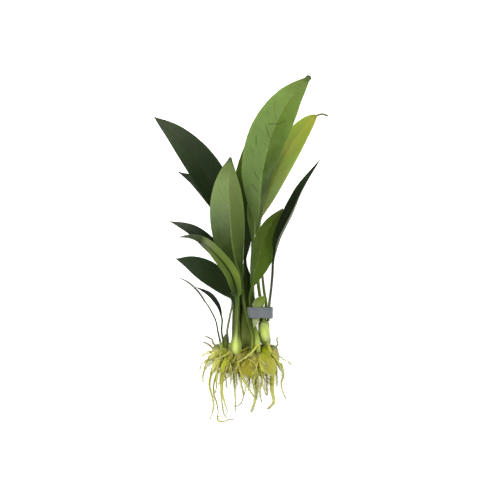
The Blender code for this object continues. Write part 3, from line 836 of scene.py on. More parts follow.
leaves = {
    "tall": dict(paleUnder, shootSeat=(18.5, 12.2),
        stalk=[(16.8, -46, 13.4), (14.6, -30.5, 15.5), (13, -10.5, 20)],
        midrib=[(13.5, 20, 27), (15.3, 38, 34), (18, 67.8, 45), (26.4, 99.4, 51), (40.2, 126.2, 50),
                (58.6, 147.6, 43)],
        blunt=2.8, halfWidth=20.2, widest=0.5, point=0.94, fold=(38, 33, 20), roll=(35, 18, 2),
        stalkRadius=(1.7, 1.3), veins=17,
        creases=[((87.9, 7.9), (78.5, 0.4)), ((89.5, 5.9), (91.8, -0.9)), ((91.8, -0.9), (98.1, -7.4)),
                 ((77, 12.4), (70.8, 10.2)), ((37.3, 7.1), (31.2, 2.6)), ((48.2, 6.8), (42.1, 2.2))],
        shown=[(-1, "6f8038"), (-0.5, "3a4a20"), (0, "536732"), (0.2, "637742"), (0.5, "5c703d"),
               (0.8, "66793a"), (0.94, "5e6a34"), (0.967, "41472c"), (1, "363a2a")],
        right=[(-1, "6f8038"), (-0.5, "3a4a20"), (0, "42550f"), (0.2, "334605"), (0.36, "3c500c"),
               (0.5, "50661c"), (0.8, "697d34"), (0.94, "6c7a40"), (0.967, "41472c"), (1, "363a2a")]),
    "front": dict(paleUnder, seat=(9.5, 50),
        stalk=[(8.7, -74, 18), (5.1, -61.5, 20.5), (1.6, -44, 23)],
        midrib=[(0, -27, 29), (-4.3, -13, 37), (-7.8, 5.5, 47), (-9.7, 30.5, 57.5), (-10.5, 56, 63),
                (-9, 77.8, 61)],
        blunt=2.0, halfWidth=18.5, widest=0.505, point=0.87, fold=(34, 36, 30), roll=(10, 13, 15),
        # lip: painted shade inside the lower right edge, with the painted highlight colour on the edge itself
        stalkRadius=(1.9, 1.5), veins=15, patch=0.22, streak=0.16, stemLight=0.12, lip=(-1, 0.3, "7f9262"),
        shown=[(-1, "7d8c38"), (-0.6, "333e10"), (-0.1, "2b3b08"), (0.12, "30430a"), (0.3, "26340e"),
               (0.42, "424d2f"), (0.52, "566443"), (0.66, "69774c"), (0.8, "6e7e4c"), (0.95, "566234"),
               (0.975, "42473a"), (1, "3c3f36")],
        right=[(-1, "7d8c38"), (-0.6, "343f10"), (-0.1, "2b3b08"), (0.12, "2c4010"), (0.3, "4b5c26"),
               (0.6, "61703a"), (0.85, "707e4a"), (0.95, "66743f"), (0.975, "42473a"), (1, "3c3f36")]),
    "yellow": dict(darkUpper, slot="young_leaf", shootSeat=(20, 5.6),
        stalk=[(21.2, -47, 5.6), (19.3, -35, 6), (17.2, -13.5, 7), (15.8, 8, 7.5)],
        midrib=[(16, 24.5, 8), (23, 45.5, 9), (33.7, 72.5, 11), (47.3, 97.1, 9), (60, 112.5, 5),
                (69, 117.4, 2.6), (75.5, 116, 0.8)],
        blunt=0.85, halfWidth=10.1, widest=0.59, point=0.68, tail=0.09, fold=(-12, -8, -4), roll=(4, 4, 0),
        stalkRadius=(1.5, 1.05), veins=16, patch=0.35, patchTone="a99a4a", vein=0.25, veinTone="7f9638",
        ribTone="b9c766", edgeTone="6d7a35",
        shown=[(-1, "6f8038"), (-0.5, "33421f"), (0, "5a6c34"), (0.35, "667a34"), (0.52, "73883c"),
               (0.68, "84983c"), (0.87, "98a640"), (0.92, "6a6f44"), (1, "5a6047")],
        right=[(-1, "6f8038"), (-0.5, "33421f"), (0, "707d52"), (0.25, "98b062"), (0.5, "9ab450"),
               (0.75, "9cab40"), (0.87, "a4a83e"), (0.92, "6a6f44"), (1, "5a6047")],
        hidden=[(-1, "8a9c46"), (0, "8a9c4a"), (0.5, "a8b65a"), (0.9, "9da044"), (1, "5a6047")]),
    "leftHigh": dict(darkUpper, seat=(-6.4, 0),
        stalk=[(-5.8, -61, 8), (-5.8, -43.5, 8), (-6.4, -13.5, 9.6)],
        midrib=[(-9, 15, 12), (-20.3, 44.2, 17), (-35.6, 71, 17), (-55.7, 96.8, 10), (-76, 115.2, 0.9)],
        blunt=1.0, halfWidth=16.3, widest=0.43, point=0.94, fold=(-20, -20), roll=(27, 24),
        stalkRadius=(1.5, 1.3), veins=16,
        shown=[(-1, "566531"), (-0.5, "323f1d"), (0, "152009"), (0.3, "1e2b14"), (0.45, "1d2a14"),
               (0.6, "2c3722"), (0.85, "3a4330"), (0.95, "40463a"), (1, "45463c")],
        right=[(-1, "566531"), (-0.5, "3c4a22"), (0, "131d08"), (0.35, "1c2614"), (0.5, "1e2817"),
               (0.7, "2a3322"), (0.9, "3b4231"), (1, "3a3c32")]),
    "leftSecond": dict(darkUpper, seat=(-8.2, -30),
        stalk=[(-7, -61, 4.4), (-6.8, -44, 4.2), (-9, -9, 3.6)],
        midrib=[(-12, 20.5, 3), (-23, 41.5, 2.4), (-38.5, 58, 2.4), (-55, 67.5, 0.9)],
        blunt=0.7, halfWidth=6.8, widest=0.43, point=1.05, fold=(-8, -8), roll=(4, 0),
        stalkRadius=(1.4, 1.2), veins=14,
        shown=[(-1, "6f8040"), (-0.5, "33421f"), (0, "1f2a18"), (0.5, "2d332a"), (0.9, "343930"),
               (1, "42443e")]),
    "leftMid": dict(darkUpper, seat=(-1.8, -22),
        stalk=[(-2.6, -61, 6.5), (-2.6, -46.5, 9)],
        midrib=[(-4.5, -33.5, 13), (-12, -14, 19), (-26.5, 1.9, 23), (-43.5, 16.4, 21), (-63, 24.8, 13)],
        halfWidth=7.8, widest=0.52, point=1.2, fold=(-18, -18), roll=(36, 34), stalkRadius=(1.4, 1.2),
        veins=12,
        shown=[(-1, "6f8040"), (-0.7, "354214"), (-0.3, "16230a"), (0, "18220f"), (0.45, "10180a"),
               (0.62, "161e10"), (0.75, "2f342a"), (0.9, "3e4238"), (1, "45473f")]),
    "arching": dict(darkUpper, slot="green_leaf", seat=(-4.8, 42),
        stalk=[(-4.6, -76, 18), (-3.6, -60.5, 22), (-3.3, -50, 25)],
        midrib=[(-3.6, -41.5, 28), (-5.5, -31, 34), (-10, -19, 41), (-19, -7, 47), (-31, 4, 46),
                (-44, 9.4, 38), (-56, 10.5, 29)],
        halfWidth=10.2, widest=0.36, point=1.25, fold=(-52, -56, -60), roll=(4, 4, 60),
        sheath=(3.0, 0.08, 0.42), stalkRadius=(5.3, 1.7), stemLight=0.18, stemHighlightTone="93a54c", footLight=0.6,
        # on this leaf the dark rib tone is partly the midrib's own colour and partly painted shade in the
        # fold, and the pale edge tone is a painted highlight
        veins=15, patch=0.3, patchTone="6d8740", vein=0.3, veinTone="46591f", rib=0.95, ribTone="22340a",
        ribSpread=(0.6, 1.5), edge=0.5, edgeTone="7f9060", shine=0.12,
        shown=[(-1, "dbe884"), (-0.85, "b4c264"), (-0.65, "5d6b26"), (-0.1, "3a4914"), (0.08, "202e0a"),
               (0.28, "5f7330"), (0.55, "65763a"), (0.66, "737769"), (0.7, "2a3024"), (1, "46483f")],
        right=[(-1, "aab558"), (-0.85, "96a44c"), (-0.65, "4b581c"), (-0.2, "2f3d0e"), (0, "3f5710"),
               (0.28, "788c3a"), (0.5, "70833f"), (0.65, "737c52"), (0.71, "2a3024"), (1, "46483f")],
        hidden=[(-1, "b5c465"), (0, "6f8240"), (0.5, "7e9450"), (0.85, "4d5c30"), (1, "3c3f38")]),
    "leftLow": dict(darkUpper, seat=(-13, 12),
        stalk=[(-12.4, -70, 10.6), (-10, -57, 11)],
        midrib=[(-8, -44, 11), (-13.5, -34.7, 10), (-25, -22.6, 8), (-42, -12.5, 4.6), (-57.2, -8, 0.9)],
        blunt=0.9, halfWidth=10.1, widest=0.48, point=1.1, fold=(-14, -14), roll=(0, 0),
        stalkRadius=(1.2, 0.9), veins=12,
        shown=[(-1, "747a5e"), (-0.6, "6f746a"), (-0.1, "5a6152"), (0, "24311a"), (0.15, "18220e"),
               (0.5, "1d2912"), (0.8, "2a3524"), (1, "363c30")]),
    "thinOuter": dict(darkUpper, seat=(-18.5, 10),
        stalk=[(-20.5, -71, 8.5), (-22.3, -62, 8.8), (-26.5, -53, 9.5)],
        midrib=[(-30.5, -46.5, 10), (-38, -36, 12), (-48, -27.5, 12), (-60, -22.5, 8)],
        halfWidth=4, widest=0.45, point=1.3, fold=(-10, -10), roll=(84, 84), stalkRadius=(1.0, 0.7), veins=9,
        wave=0.8,
        shown=[(-1, "5c6a3a"), (-0.5, "5c6154"), (0, "7f8378"), (0.5, "85887f"), (1, "a2a49c")],
        hidden=[(-1, "5c6a3a"), (-0.5, "4a5140"), (0, "5d6253"), (0.5, "5a5f52"), (1, "7a7d72")]),
    "thinInner": dict(darkUpper, seat=(-15.8, 50),
        stalk=[(-17.2, -71, 15), (-16.9, -64.5, 15.5)],
        midrib=[(-17, -59, 16), (-20.4, -48.8, 18), (-28, -39.1, 19), (-39.8, -32, 16)],
        halfWidth=4.6, widest=0.5, point=1.1, fold=(-12, -12), roll=(64, 64), stalkRadius=(1.1, 0.8),
        veins=9, wave=0.8,
        shown=[(-1, "566532"), (-0.6, "2a3118"), (0, "141811"), (0.4, "26292a"), (1, "383b37")]),
    "right": dict(darkUpper, shootSeat=(23, 10),
        stalk=[(24, -46, 16), (25.3, -34.5, 24), (26.4, -21.5, 34)],
        midrib=[(27.2, -8, 43), (32.3, 9, 49), (42.3, 28.8, 52), (52.4, 51.8, 50), (67.6, 77.4, 43)],
        halfWidth=10.8, widest=0.43, point=1.1, fold=(-28, -24), roll=(-70, -66), stalkRadius=(1.4, 1.1),
        veins=13, patchTone="2c3a1c",
        shown=[(-1, "6f8038"), (-0.6, "4c5345"), (-0.2, "2c3228"), (0, "131d0b"), (0.35, "0b1204"),
               (0.6, "0e1607"), (0.8, "1c2415"), (1, "2a2f24")],
        hidden=[(-1, "6f8038"), (-0.6, "4c5345"), (0, "4a543e"), (0.5, "5a644c"), (1, "3a4230")]),
    "frontRight": dict(paleUnder, slot="green_leaf", seat=(14.6, 50),
        stalk=[(11.5, -74, 14.6), (8.2, -62, 13), (7.6, -50, 14), (7.2, -40, 21)],
        midrib=[(8.6, -33, 28), (11.8, -17.5, 37), (17.4, 3, 42.5), (25, 20.8, 42.5), (35.6, 35.4, 37)],
        halfWidth=13.2, widest=0.51, point=0.95, fold=(34, 26), roll=(-24, -20), rib=0.08,
        sheath=(3.4, 0.35, 0.75), stalkRadius=(2.2, 1.2), veins=11, patch=0.25, patchTone="4c6024",
        vein=0.25, veinTone="2c3d10", ribTone="5c7030",
        shown=[(-1, "93a150"), (-0.87, "9cab52"), (-0.77, "77873a"), (-0.62, "4a5a16"), (-0.3, "354818"),
               (0, "4c6424"), (0.15, "4f6230"), (0.35, "43531f"), (0.5, "3f501b"), (0.8, "384512"),
               (1, "323b1a")],
        right=[(-1, "8a9a3c"), (-0.86, "a4b25c"), (-0.74, "76863a"), (-0.6, "4c5c16"), (-0.3, "354818"),
               (0, "486020"), (0.15, "455919"), (0.6, "384910"), (0.85, "2a360a"), (1, "2c3418")]),
    "back": dict(darkUpper, slot="green_leaf", seat=(3, -25),
        stalk=[(3.2, -61, 3.6), (3.7, -44, 3), (3.6, -22, 2.2)],
        midrib=[(3, -11, 1.8), (2.4, 15, 1), (4.6, 50, 0.8), (11, 86.5, 0.8), (18.5, 118.5, 0.8)],
        sheath=(5.8, 0.75, 1.0), wingStart=0.06, stemLight=0.05, halfWidth=12.6, widest=0.5, point=1.0,
        fold=(-4, -4), roll=(0, 0), stalkRadius=(1.5, 1.3), veins=16, patchTone="2a3910", veinTone="3c4c18",
        wave=0.6,
        shown=[(-1, "5c6a30"), (-0.85, "74813f"), (-0.72, "55622a"), (-0.5, "1b2608"), (-0.3, "141f07"),
               (0, "131d0c"), (0.25, "18270a"), (0.5, "2c3a0e"), (0.7, "44541e"), (1, "4a5430")]),
    "centre": dict(paleUnder, slot="green_leaf", shootSeat=(15.9, 8.8),
        stalk=[(12.4, -51, 9.4), (10.4, -44, 10), (9.4, -30.5, 12), (9.4, -16, 13.8)],
        midrib=[(9.6, 4, 16.3), (10.2, 16, 17.5), (11.2, 30, 19), (15.4, 51, 22), (23, 74.5, 23),
                (29.5, 92.5, 21)],
        halfWidth=8.6, widest=0.5, point=1.0, fold=(10, 10), roll=(48, 0), stalkRadius=(1.2, 1.4), veins=12,
        patchTone="5c7436",
        shown=[(-1, "6f8038"), (-0.5, "222f12"), (0, "5a6e32"), (0.12, "687c40"), (0.25, "6f8444"),
               (0.45, "62773a"), (0.6, "485d1a"), (1, "4a5b28")]),
}

for number, (name, leaf) in enumerate(leaves.items(), 1):
    growLeaf(name, dict(leaf, seed=number * leafForm["seedStep"]))
print("leaves done:", len(leaves))


# Old scale leaves and the sheath: cupped and puffed shells without a stalk

scaleForm = {
    "rings": 70, "acrossHalf": 14, "ribs": 7, "ribHeight": 0.10, "lift": 0.5, "endPuff": 0.25,
    "rounding": 0.96, "ripple": 0.55, "ripplePoints": 9, "lowest": 0.05,
    "above": 80,             # where the rays start that look for the rhizome from above
    "first": 8,              # the height of a first point beside it
    "fall": 1.6,             # how far each next point may drop beyond it
}
coverSolid = solidTree("rhizome", "shoot", "scale_left", "scale_middle", "scale_right")


def laidOn(points, lift, least=1.0):
    # lays points that have no height on what covers the rhizome, falling to the floor beyond it
    laid = []
    for x, y, *height in points:
        if not height:
            surface = coverSolid.ray_cast(Vector((x, y, scaleForm["above"])) * mm, Vector((0, 0, -1)))[0]
            before = laid[-1][2] - scaleForm["fall"] if laid else scaleForm["first"]
            height = [max(surface.z / mm + lift if surface else least, before, least)]
        laid.append((x, y, *height))
    return laid


def scaleFinish(name, scale):
    finish = newFinish(name + "Finish")
    along, across = marked("along"), marked("across")
    lineTone, patchTone, rimTone = scale["tints"]
    lines = cloud(joined(along * 2.0, across * 13.0, scale["seed"]), 1.0, 4, 0.6)
    patch = cloud(ownPlace(), 150, 4, 0.6, scale["seed"])
    rim = reckon("MAXIMUM", eased(across * scale["rimSide"], 0.62, 0.95), eased(abs(across), 0.85, 1.0) * 0.5)
    skin = tinted(ramped(along, scale["tones"]), eased(lines, 0.45, 0.75) * 0.45, lineTone)
    skin = tinted(skin, eased(patch, 0.45, 0.75) * 0.6, patchTone)
    return dressed(finish, {
        "Base Color": tinted(skin, rim * 0.75, rimTone), "Roughness": spanned(patch, 0.36, 0.58),
        "Specular IOR Level": 0.08, "Subsurface Weight": 0.3, "Subsurface Radius": (1.0, 0.9, 0.25),
        "Subsurface Scale": 0.0015, "Normal": bumped(lines, 0.00025)})


def makeScale(name, scale):
    midrib = laidOn(scale["midrib"], scale.get("lift", scaleForm["lift"]))
    middle = spreadOut(smoothLine(midrib), scaleForm["rings"])
    along = directions(middle)
    shares = np.linspace(0, 1, scaleForm["rings"])
    widths = blended(np.interp(shares, np.linspace(0, 1, len(scale["widths"])), scale["widths"]), shares)
    widths *= np.sqrt(1 - scaleForm["rounding"] * (2 * shares - 1) ** 16)
    swollen = np.sin(math.pi * shares ** 0.8) ** 0.7
    puff = scaleForm["endPuff"] + (scale["puff"] - scaleForm["endPuff"]) * swollen
    places = acrossPlaces(scaleForm["acrossHalf"])
    across = np.concatenate([places, places[-2:0:-1]])
    rib = scaleForm["ribHeight"] * np.cos(across * math.pi * scaleForm["ribs"]) * (1 - across ** 2)
    spots = np.linspace(0, 1, scaleForm["ripplePoints"])
    drift = np.random.default_rng(int(scale["seed"])).uniform(-1, 1, (2, len(spots)))
    cup = math.radians(scale["cup"])
    rings = []
    for i, share in enumerate(shares):
        ring, face = sectionPoints(middle[i], along[i], widths[i], puff[i], cup, 0, places)
        edge = np.where(across > 0, *[np.interp(share, spots, row) for row in drift])
        ripple = scaleForm["ripple"] * edge * across ** 2 * math.sin(share * math.pi)
        ring = ring + np.outer(rib + ripple, face)
        ring[:, 2] = np.maximum(ring[:, 2], scaleForm["lowest"])
        rings.append(ring)
    marks = {"along": np.repeat(shares, len(across)), "across": np.tile(across, len(shares))}
    place(ringPiece(name, rings, marks, scaleFinish(name, scale)), "scale", scale.get("stands"))


# the sheath and the three large scales, then smaller ones that overlap round the rhizome; tints are
# the tones of fine lines, patches and rim
scales = {
    "paleSheath": dict(stands="sheath", seed=3.0, puff=0.35, cup=14,
        midrib=[(10.4, -67.5, 16.6), (11.8, -62, 16.7), (13, -54, 16.7), (15, -46.2, 17.6),
                (19.4, -40.4, 19)],
        widths=(0.5, 2.6, 4.0, 4.6, 4.9, 4.6, 1.2),
        tones=[(0.0, "98a476"), (0.3, "86945f"), (0.55, "7d8b55"), (0.75, "76863f"), (0.85, "6d8422"),
               (1.0, "64801a")],
        tints=("97a378", "566b2c", "9aa67c"), rimSide=1.0),
    "rightScale": dict(stands="scale_right", seed=5.0, puff=1.3, cup=16,
        midrib=[(17, -89.5, 17.6), (20, -95, 18.6), (24, -102, 17), (28, -109.5, 11)],
        widths=(1.5, 5.0, 7.0, 7.4, 6.4, 4.0, 0.9),
        tones=[(0.0, "7f8516"), (0.25, "8f9226"), (0.5, "9f9e40"), (0.8, "abab45"), (1.0, "bdb94c")],
        tints=("b5b05a", "8f9030", "d0d058"), rimSide=-1.0),
    "middleScale": dict(stands="scale_middle", seed=7.0, puff=1.5, cup=18,
        midrib=[(4.4, -94, 17.4), (6.4, -100, 17.6), (9, -107, 14.8), (11, -112.5, 9)],
        widths=(1.5, 4.8, 6.2, 6.4, 5.8, 3.8, 0.9),
        tones=[(0.0, "6f6410"), (0.3, "8a8222"), (0.6, "96922e"), (1.0, "9a9c2c")],
        tints=("a69c40", "7a7218", "b8b852"), rimSide=-1.0),
    "leftScale": dict(stands="scale_left", seed=9.0, puff=1.2, cup=24,
        midrib=[(-11.8, -92.5, 17.2), (-13.6, -97.5, 17.8), (-16, -103, 16.4), (-17, -107, 13)],
        widths=(0.8, 2.4, 3.2, 3.2, 2.6, 1.8, 0.6),
        tones=[(0.0, "939c26"), (0.4, "a3ab24"), (0.8, "a4aa38"), (1.0, "b3b45a")],
        tints=("b0b742", "7c8516", "cdd070"), rimSide=1.0),
    "highScale": dict(seed=11.0, puff=1.4, cup=22,
        midrib=[(15.5, -82.5), (18.5, -86.5), (22, -90.5), (25.5, -94.5)],
        widths=(1.8, 3.6, 4.6, 4.6, 3.4, 1.0),
        tones=[(0.0, "5f6a10"), (0.4, "7f8a0e"), (0.75, "868a24"), (1.0, "9a9c3c")],
        tints=("98a030", "5c6608", "a9ac48"), rimSide=-1.0),
    "outerScale": dict(seed=12.0, puff=1.2, cup=26,
        midrib=[(-13.5, -88), (-19, -89.5), (-24.5, -92), (-29.5, -95.5, 8)],
        widths=(1.6, 3.0, 3.6, 3.4, 2.6, 0.8),
        tones=[(0.0, "7c801c"), (0.35, "92953a"), (0.65, "bcbb68"), (1.0, "d8d8a2")],
        tints=("c6c680", "8d9234", "d2d492"), rimSide=-1.0),
    "lowerScale": dict(seed=13.0, puff=1.2, cup=24,
        midrib=[(-17, -93.5), (-20.5, -98), (-23.5, -103, 9.5), (-25, -107, 6)],
        widths=(1.4, 3.4, 4.2, 3.8, 2.4, 0.8),
        tones=[(0.0, "a0a244"), (0.4, "bebd64"), (0.8, "d0cd84"), (1.0, "d4d494")],
        tints=("d6d29a", "a5a44c", "dedea6"), rimSide=1.0),
    "footScale": dict(seed=14.0, puff=1.1, cup=26,
        midrib=[(-5.5, -90), (-7.5, -86.5), (-9.5, -83.5), (-11.5, -80.5)],
        widths=(1.2, 2.8, 3.6, 3.4, 2.4, 0.8),
        tones=[(0.0, "97a045"), (0.4, "9fac55"), (0.8, "8a9a4c"), (1.0, "6f8040")],
        tints=("b4bf70", "6c7c30", "c0ca80"), rimSide=1.0),
    "brownScale": dict(seed=15.0, puff=1.0, cup=24,
        midrib=[(5, -81.5), (4.5, -86), (3, -90.5), (1, -94.5)],
        widths=(1.2, 3.2, 4.2, 4.0, 2.8, 0.9),
        tones=[(0.0, "4c5610"), (0.4, "5c6014"), (0.8, "747024"), (1.0, "858030")],
        tints=("8c8434", "4a4a0c", "9c9640"), rimSide=1.0),
    # darker at its foot: partly its own olive-brown and partly painted shade of the hollow under the stalk
    # feet
    "innerScale": dict(seed=16.0, puff=1.0, cup=24, lift=0.2,
        midrib=[(-7, -89.5), (-5.8, -95), (-4.6, -100), (-3.4, -106.5)],
        widths=(1.4, 3.8, 4.8, 4.6, 3.4, 0.9),
        tones=[(0.0, "4c4e0c"), (0.35, "5c5e10"), (0.8, "87862c"), (1.0, "a09c40")],
        tints=("8f8c34", "525209", "8f8e34"), rimSide=1.0),
    "ridgeScale": dict(seed=17.0, puff=1.0, cup=22, lift=-0.3,
        midrib=[(0.8, -94), (1.8, -99.5), (3.2, -105), (5, -110.5)],
        widths=(1.4, 3.2, 4.0, 3.8, 2.6, 0.8),
        tones=[(0.0, "6a6418"), (0.4, "8b852c"), (0.8, "9c9638"), (1.0, "a8a24a")],
        tints=("a69c4c", "6f681c", "a8a050"), rimSide=1.0),
    "gapScale": dict(seed=18.0, puff=1.0, cup=20, lift=-0.4,
        midrib=[(13, -92.5), (14.6, -98), (16.2, -104), (17.6, -110.5)],
        widths=(1.4, 3.4, 4.4, 4.4, 3.6, 1.0),
        tones=[(0.0, "6f7018"), (0.5, "8a8a2a"), (1.0, "a3a23e")],
        tints=("a09c46", "6c6c18", "a4a44c"), rimSide=-1.0),
    # darker at its foot: partly its own olive-brown and partly painted shade of the hollow under the stalk
    # feet
    "hollowScale": dict(seed=19.0, puff=1.0, cup=20, lift=-0.3,
        midrib=[(-9.5, -92.5), (-10.4, -98), (-11.4, -103), (-12.6, -107.5)],
        widths=(1.2, 3.0, 3.8, 3.6, 2.6, 0.8),
        tones=[(0.0, "66680f"), (0.4, "7c7c1c"), (0.8, "93902e"), (1.0, "aaa648")],
        tints=("9a9636", "60620f", "a8a648"), rimSide=1.0),
    "stalkScale": dict(seed=20.0, puff=0.8, cup=20,
        midrib=[(-14.6, -86, 12), (-14.8, -82, 12.4), (-14.4, -77.5, 12), (-13.8, -73, 11.2)],
        widths=(1.6, 2.8, 3.0, 2.4, 1.4, 0.5),
        tones=[(0.0, "7d8428"), (0.4, "7c8740"), (0.8, "727d58"), (1.0, "656f56")],
        tints=("949f60", "5a672c", "98a26c"), rimSide=1.0),
    "huskScale": dict(seed=21.0, puff=0.9, cup=24,
        midrib=[(-12.2, -93, 16.2), (-14.6, -88, 16.4), (-17.4, -83, 14.2), (-19.2, -79, 11)],
        widths=(1.2, 2.4, 3.0, 2.6, 1.5, 0.5),
        tones=[(0.0, "666a0a"), (0.3, "6f7616"), (0.65, "7f8a40"), (1.0, "7c865a")],
        tints=("9aa050", "5e6416", "a4aa60"), rimSide=1.0),
}

for name, scale in scales.items():
    makeScale(name, scale)
print("scales done")


# The flat grey strip, bent round the stalks

strip = {
    "middle": (16.2, -54.45, 10.8), "size": (22, 9.1, 16), "wall": 0.8, "corner": 4, "edge": 0.22,
    "dent": 0.11, "dentWaves": (0.55, 0.35, 0.4),
    "cornerSteps": 14, "edgeSteps": 3, "depthSteps": 20, "pathStep": 0.7,
    "end": 9.0,              # where the outer end stops on the front, from the middle
    "lap": 1.0,              # how far the inner end runs on beneath it
    "drop": 0.95,            # how much lower the inner end lies
    "slack": 0.08,           # the gap between both ends
    "goingUnder": (330, 440),            # between these angles the inner end goes under the outer one
    "sharpness": 50,
}


def stripFinish():
    finish = newFinish("stripFinish")
    spot = ownPlace()
    cloudy = cloud(spot, 120, 4, 0.6)
    rolled = cloud(reckonWay("MULTIPLY", spot, (1, 12, 1)), 260, 4, 0.6, 2.0)
    scratch = eased(cloud(reckonWay("MULTIPLY", spot, (1.5, 30, 1.5)), 420, 2, 0.5, 6.0), 0.64, 0.72)
    # painted light: lightens the rounded left end of the band, where it bends away and would read darker
    bend = eased(wired("ShaderNodeSeparateXYZ", {0: spot}), 0.0088, 0.0056)
    skin = ramped(cloudy, [(0.3, "5b6062"), (0.5, "63696b"), (0.7, "6d7375")])
    skin = tinted(skin, spanned(rolled, 0.0, 0.3), "75797b")
    skin = tinted(skin, scratch * 0.5, "a4a8ac")
    return dressed(finish, {
        "Base Color": tinted(skin, bend * 0.6, "a8aeb0"), "Metallic": 0.55,
        "Roughness": spanned(cloudy, 0.42, 0.62), "Normal": bumped(rolled + scratch * -0.4, 0.0001)})


def stripPath():
    # from the outer end over the front and once round, each point with the angle of its way out
    width, height, corner = strip["size"][0], strip["size"][2], strip["corner"]
    turns = [(strip["end"], height / 2, 90.0)]
    for x, z, start in [(-1, 1, 90), (-1, -1, 180), (1, -1, 270), (1, 1, 360)]:
        for step in range(strip["cornerSteps"] + 1):
            angle = start + 90 * step / strip["cornerSteps"]
            turns.append((x * (width / 2 - corner) + corner * math.cos(math.radians(angle)),
                          z * (height / 2 - corner) + corner * math.sin(math.radians(angle)), angle))
    turns.append((strip["end"] - strip["lap"], height / 2, 450.0))
    path = []
    for a, b in zip(turns, turns[1:]):
        count = max(int(math.dist(a[:2], b[:2]) / strip["pathStep"]), 1)
        path += [tuple(p + (q - p) * k / count for p, q in zip(a, b)) for k in range(count)]
    return path + turns[-1:]


def makeStrip():
    # a band with rounded edges that follows the path
    depth, wall, edge = strip["size"][1], strip["wall"], strip["edge"]
    waveX, waveY, waveZ = strip["dentWaves"]
    section = []
    for side, out, start in ((-1, 1, 180), (1, 1, 90), (1, -1, 0), (-1, -1, -90)):
        for step in range(strip["edgeSteps"] + 1):
            angle = math.radians(start - 90 * step / strip["edgeSteps"])
            section.append((side * (depth / 2 - edge) + edge * math.cos(angle),
                            out * (wall / 2 - edge) + edge * math.sin(angle)))
        if side == -out:
            steps = np.linspace(side, -side, strip["depthSteps"] + 1)[1:-1]
            section += [(step * (depth / 2 - edge), out * wall / 2) for step in steps]
    rings = []
    for x, z, turn in stripPath():
        under = softStep(*strip["goingUnder"], turn)
        outX, outZ = math.cos(math.radians(turn)), math.sin(math.radians(turn))
        ring = []
        for y, out in section:
            dent = strip["dent"] * math.sin(x * waveX + y * waveY) * math.sin(z * waveZ + 1.0)
            reach = out - wall / 2 - under * (wall + strip["slack"]) + dent
            ring.append((x + outX * reach, y - under * strip["drop"], z + outZ * reach))
        rings.append(np.array(strip["middle"]) + ring)
    piece = ringPiece("greyStrip", rings, material=stripFinish())
    piece.data.set_sharp_from_angle(angle=math.radians(strip["sharpness"]))
    place(piece, "strip", "strip")


makeStrip()
print("strip done")


# Roots: each follows its own line, with side roots grown on it

rootForm = {
    "Spacing": 0.6, "Sides": 10, "Wander": 1.5, "Wander Scale": 90.0, "Kinks": 0.9, "Knots": 0.6,
    "Knot Scale": 330.0, "Side Gap": 2.6, "Side Length": 7.0, "Side Radius": 0.17, "Side Sides": 5,
}
rootLengths = ("Spacing", "Wander", "Kinks", "Base Radius", "Tip Radius", "Side Gap", "Side Length",
               "Side Radius")
rootLowest = 0.03


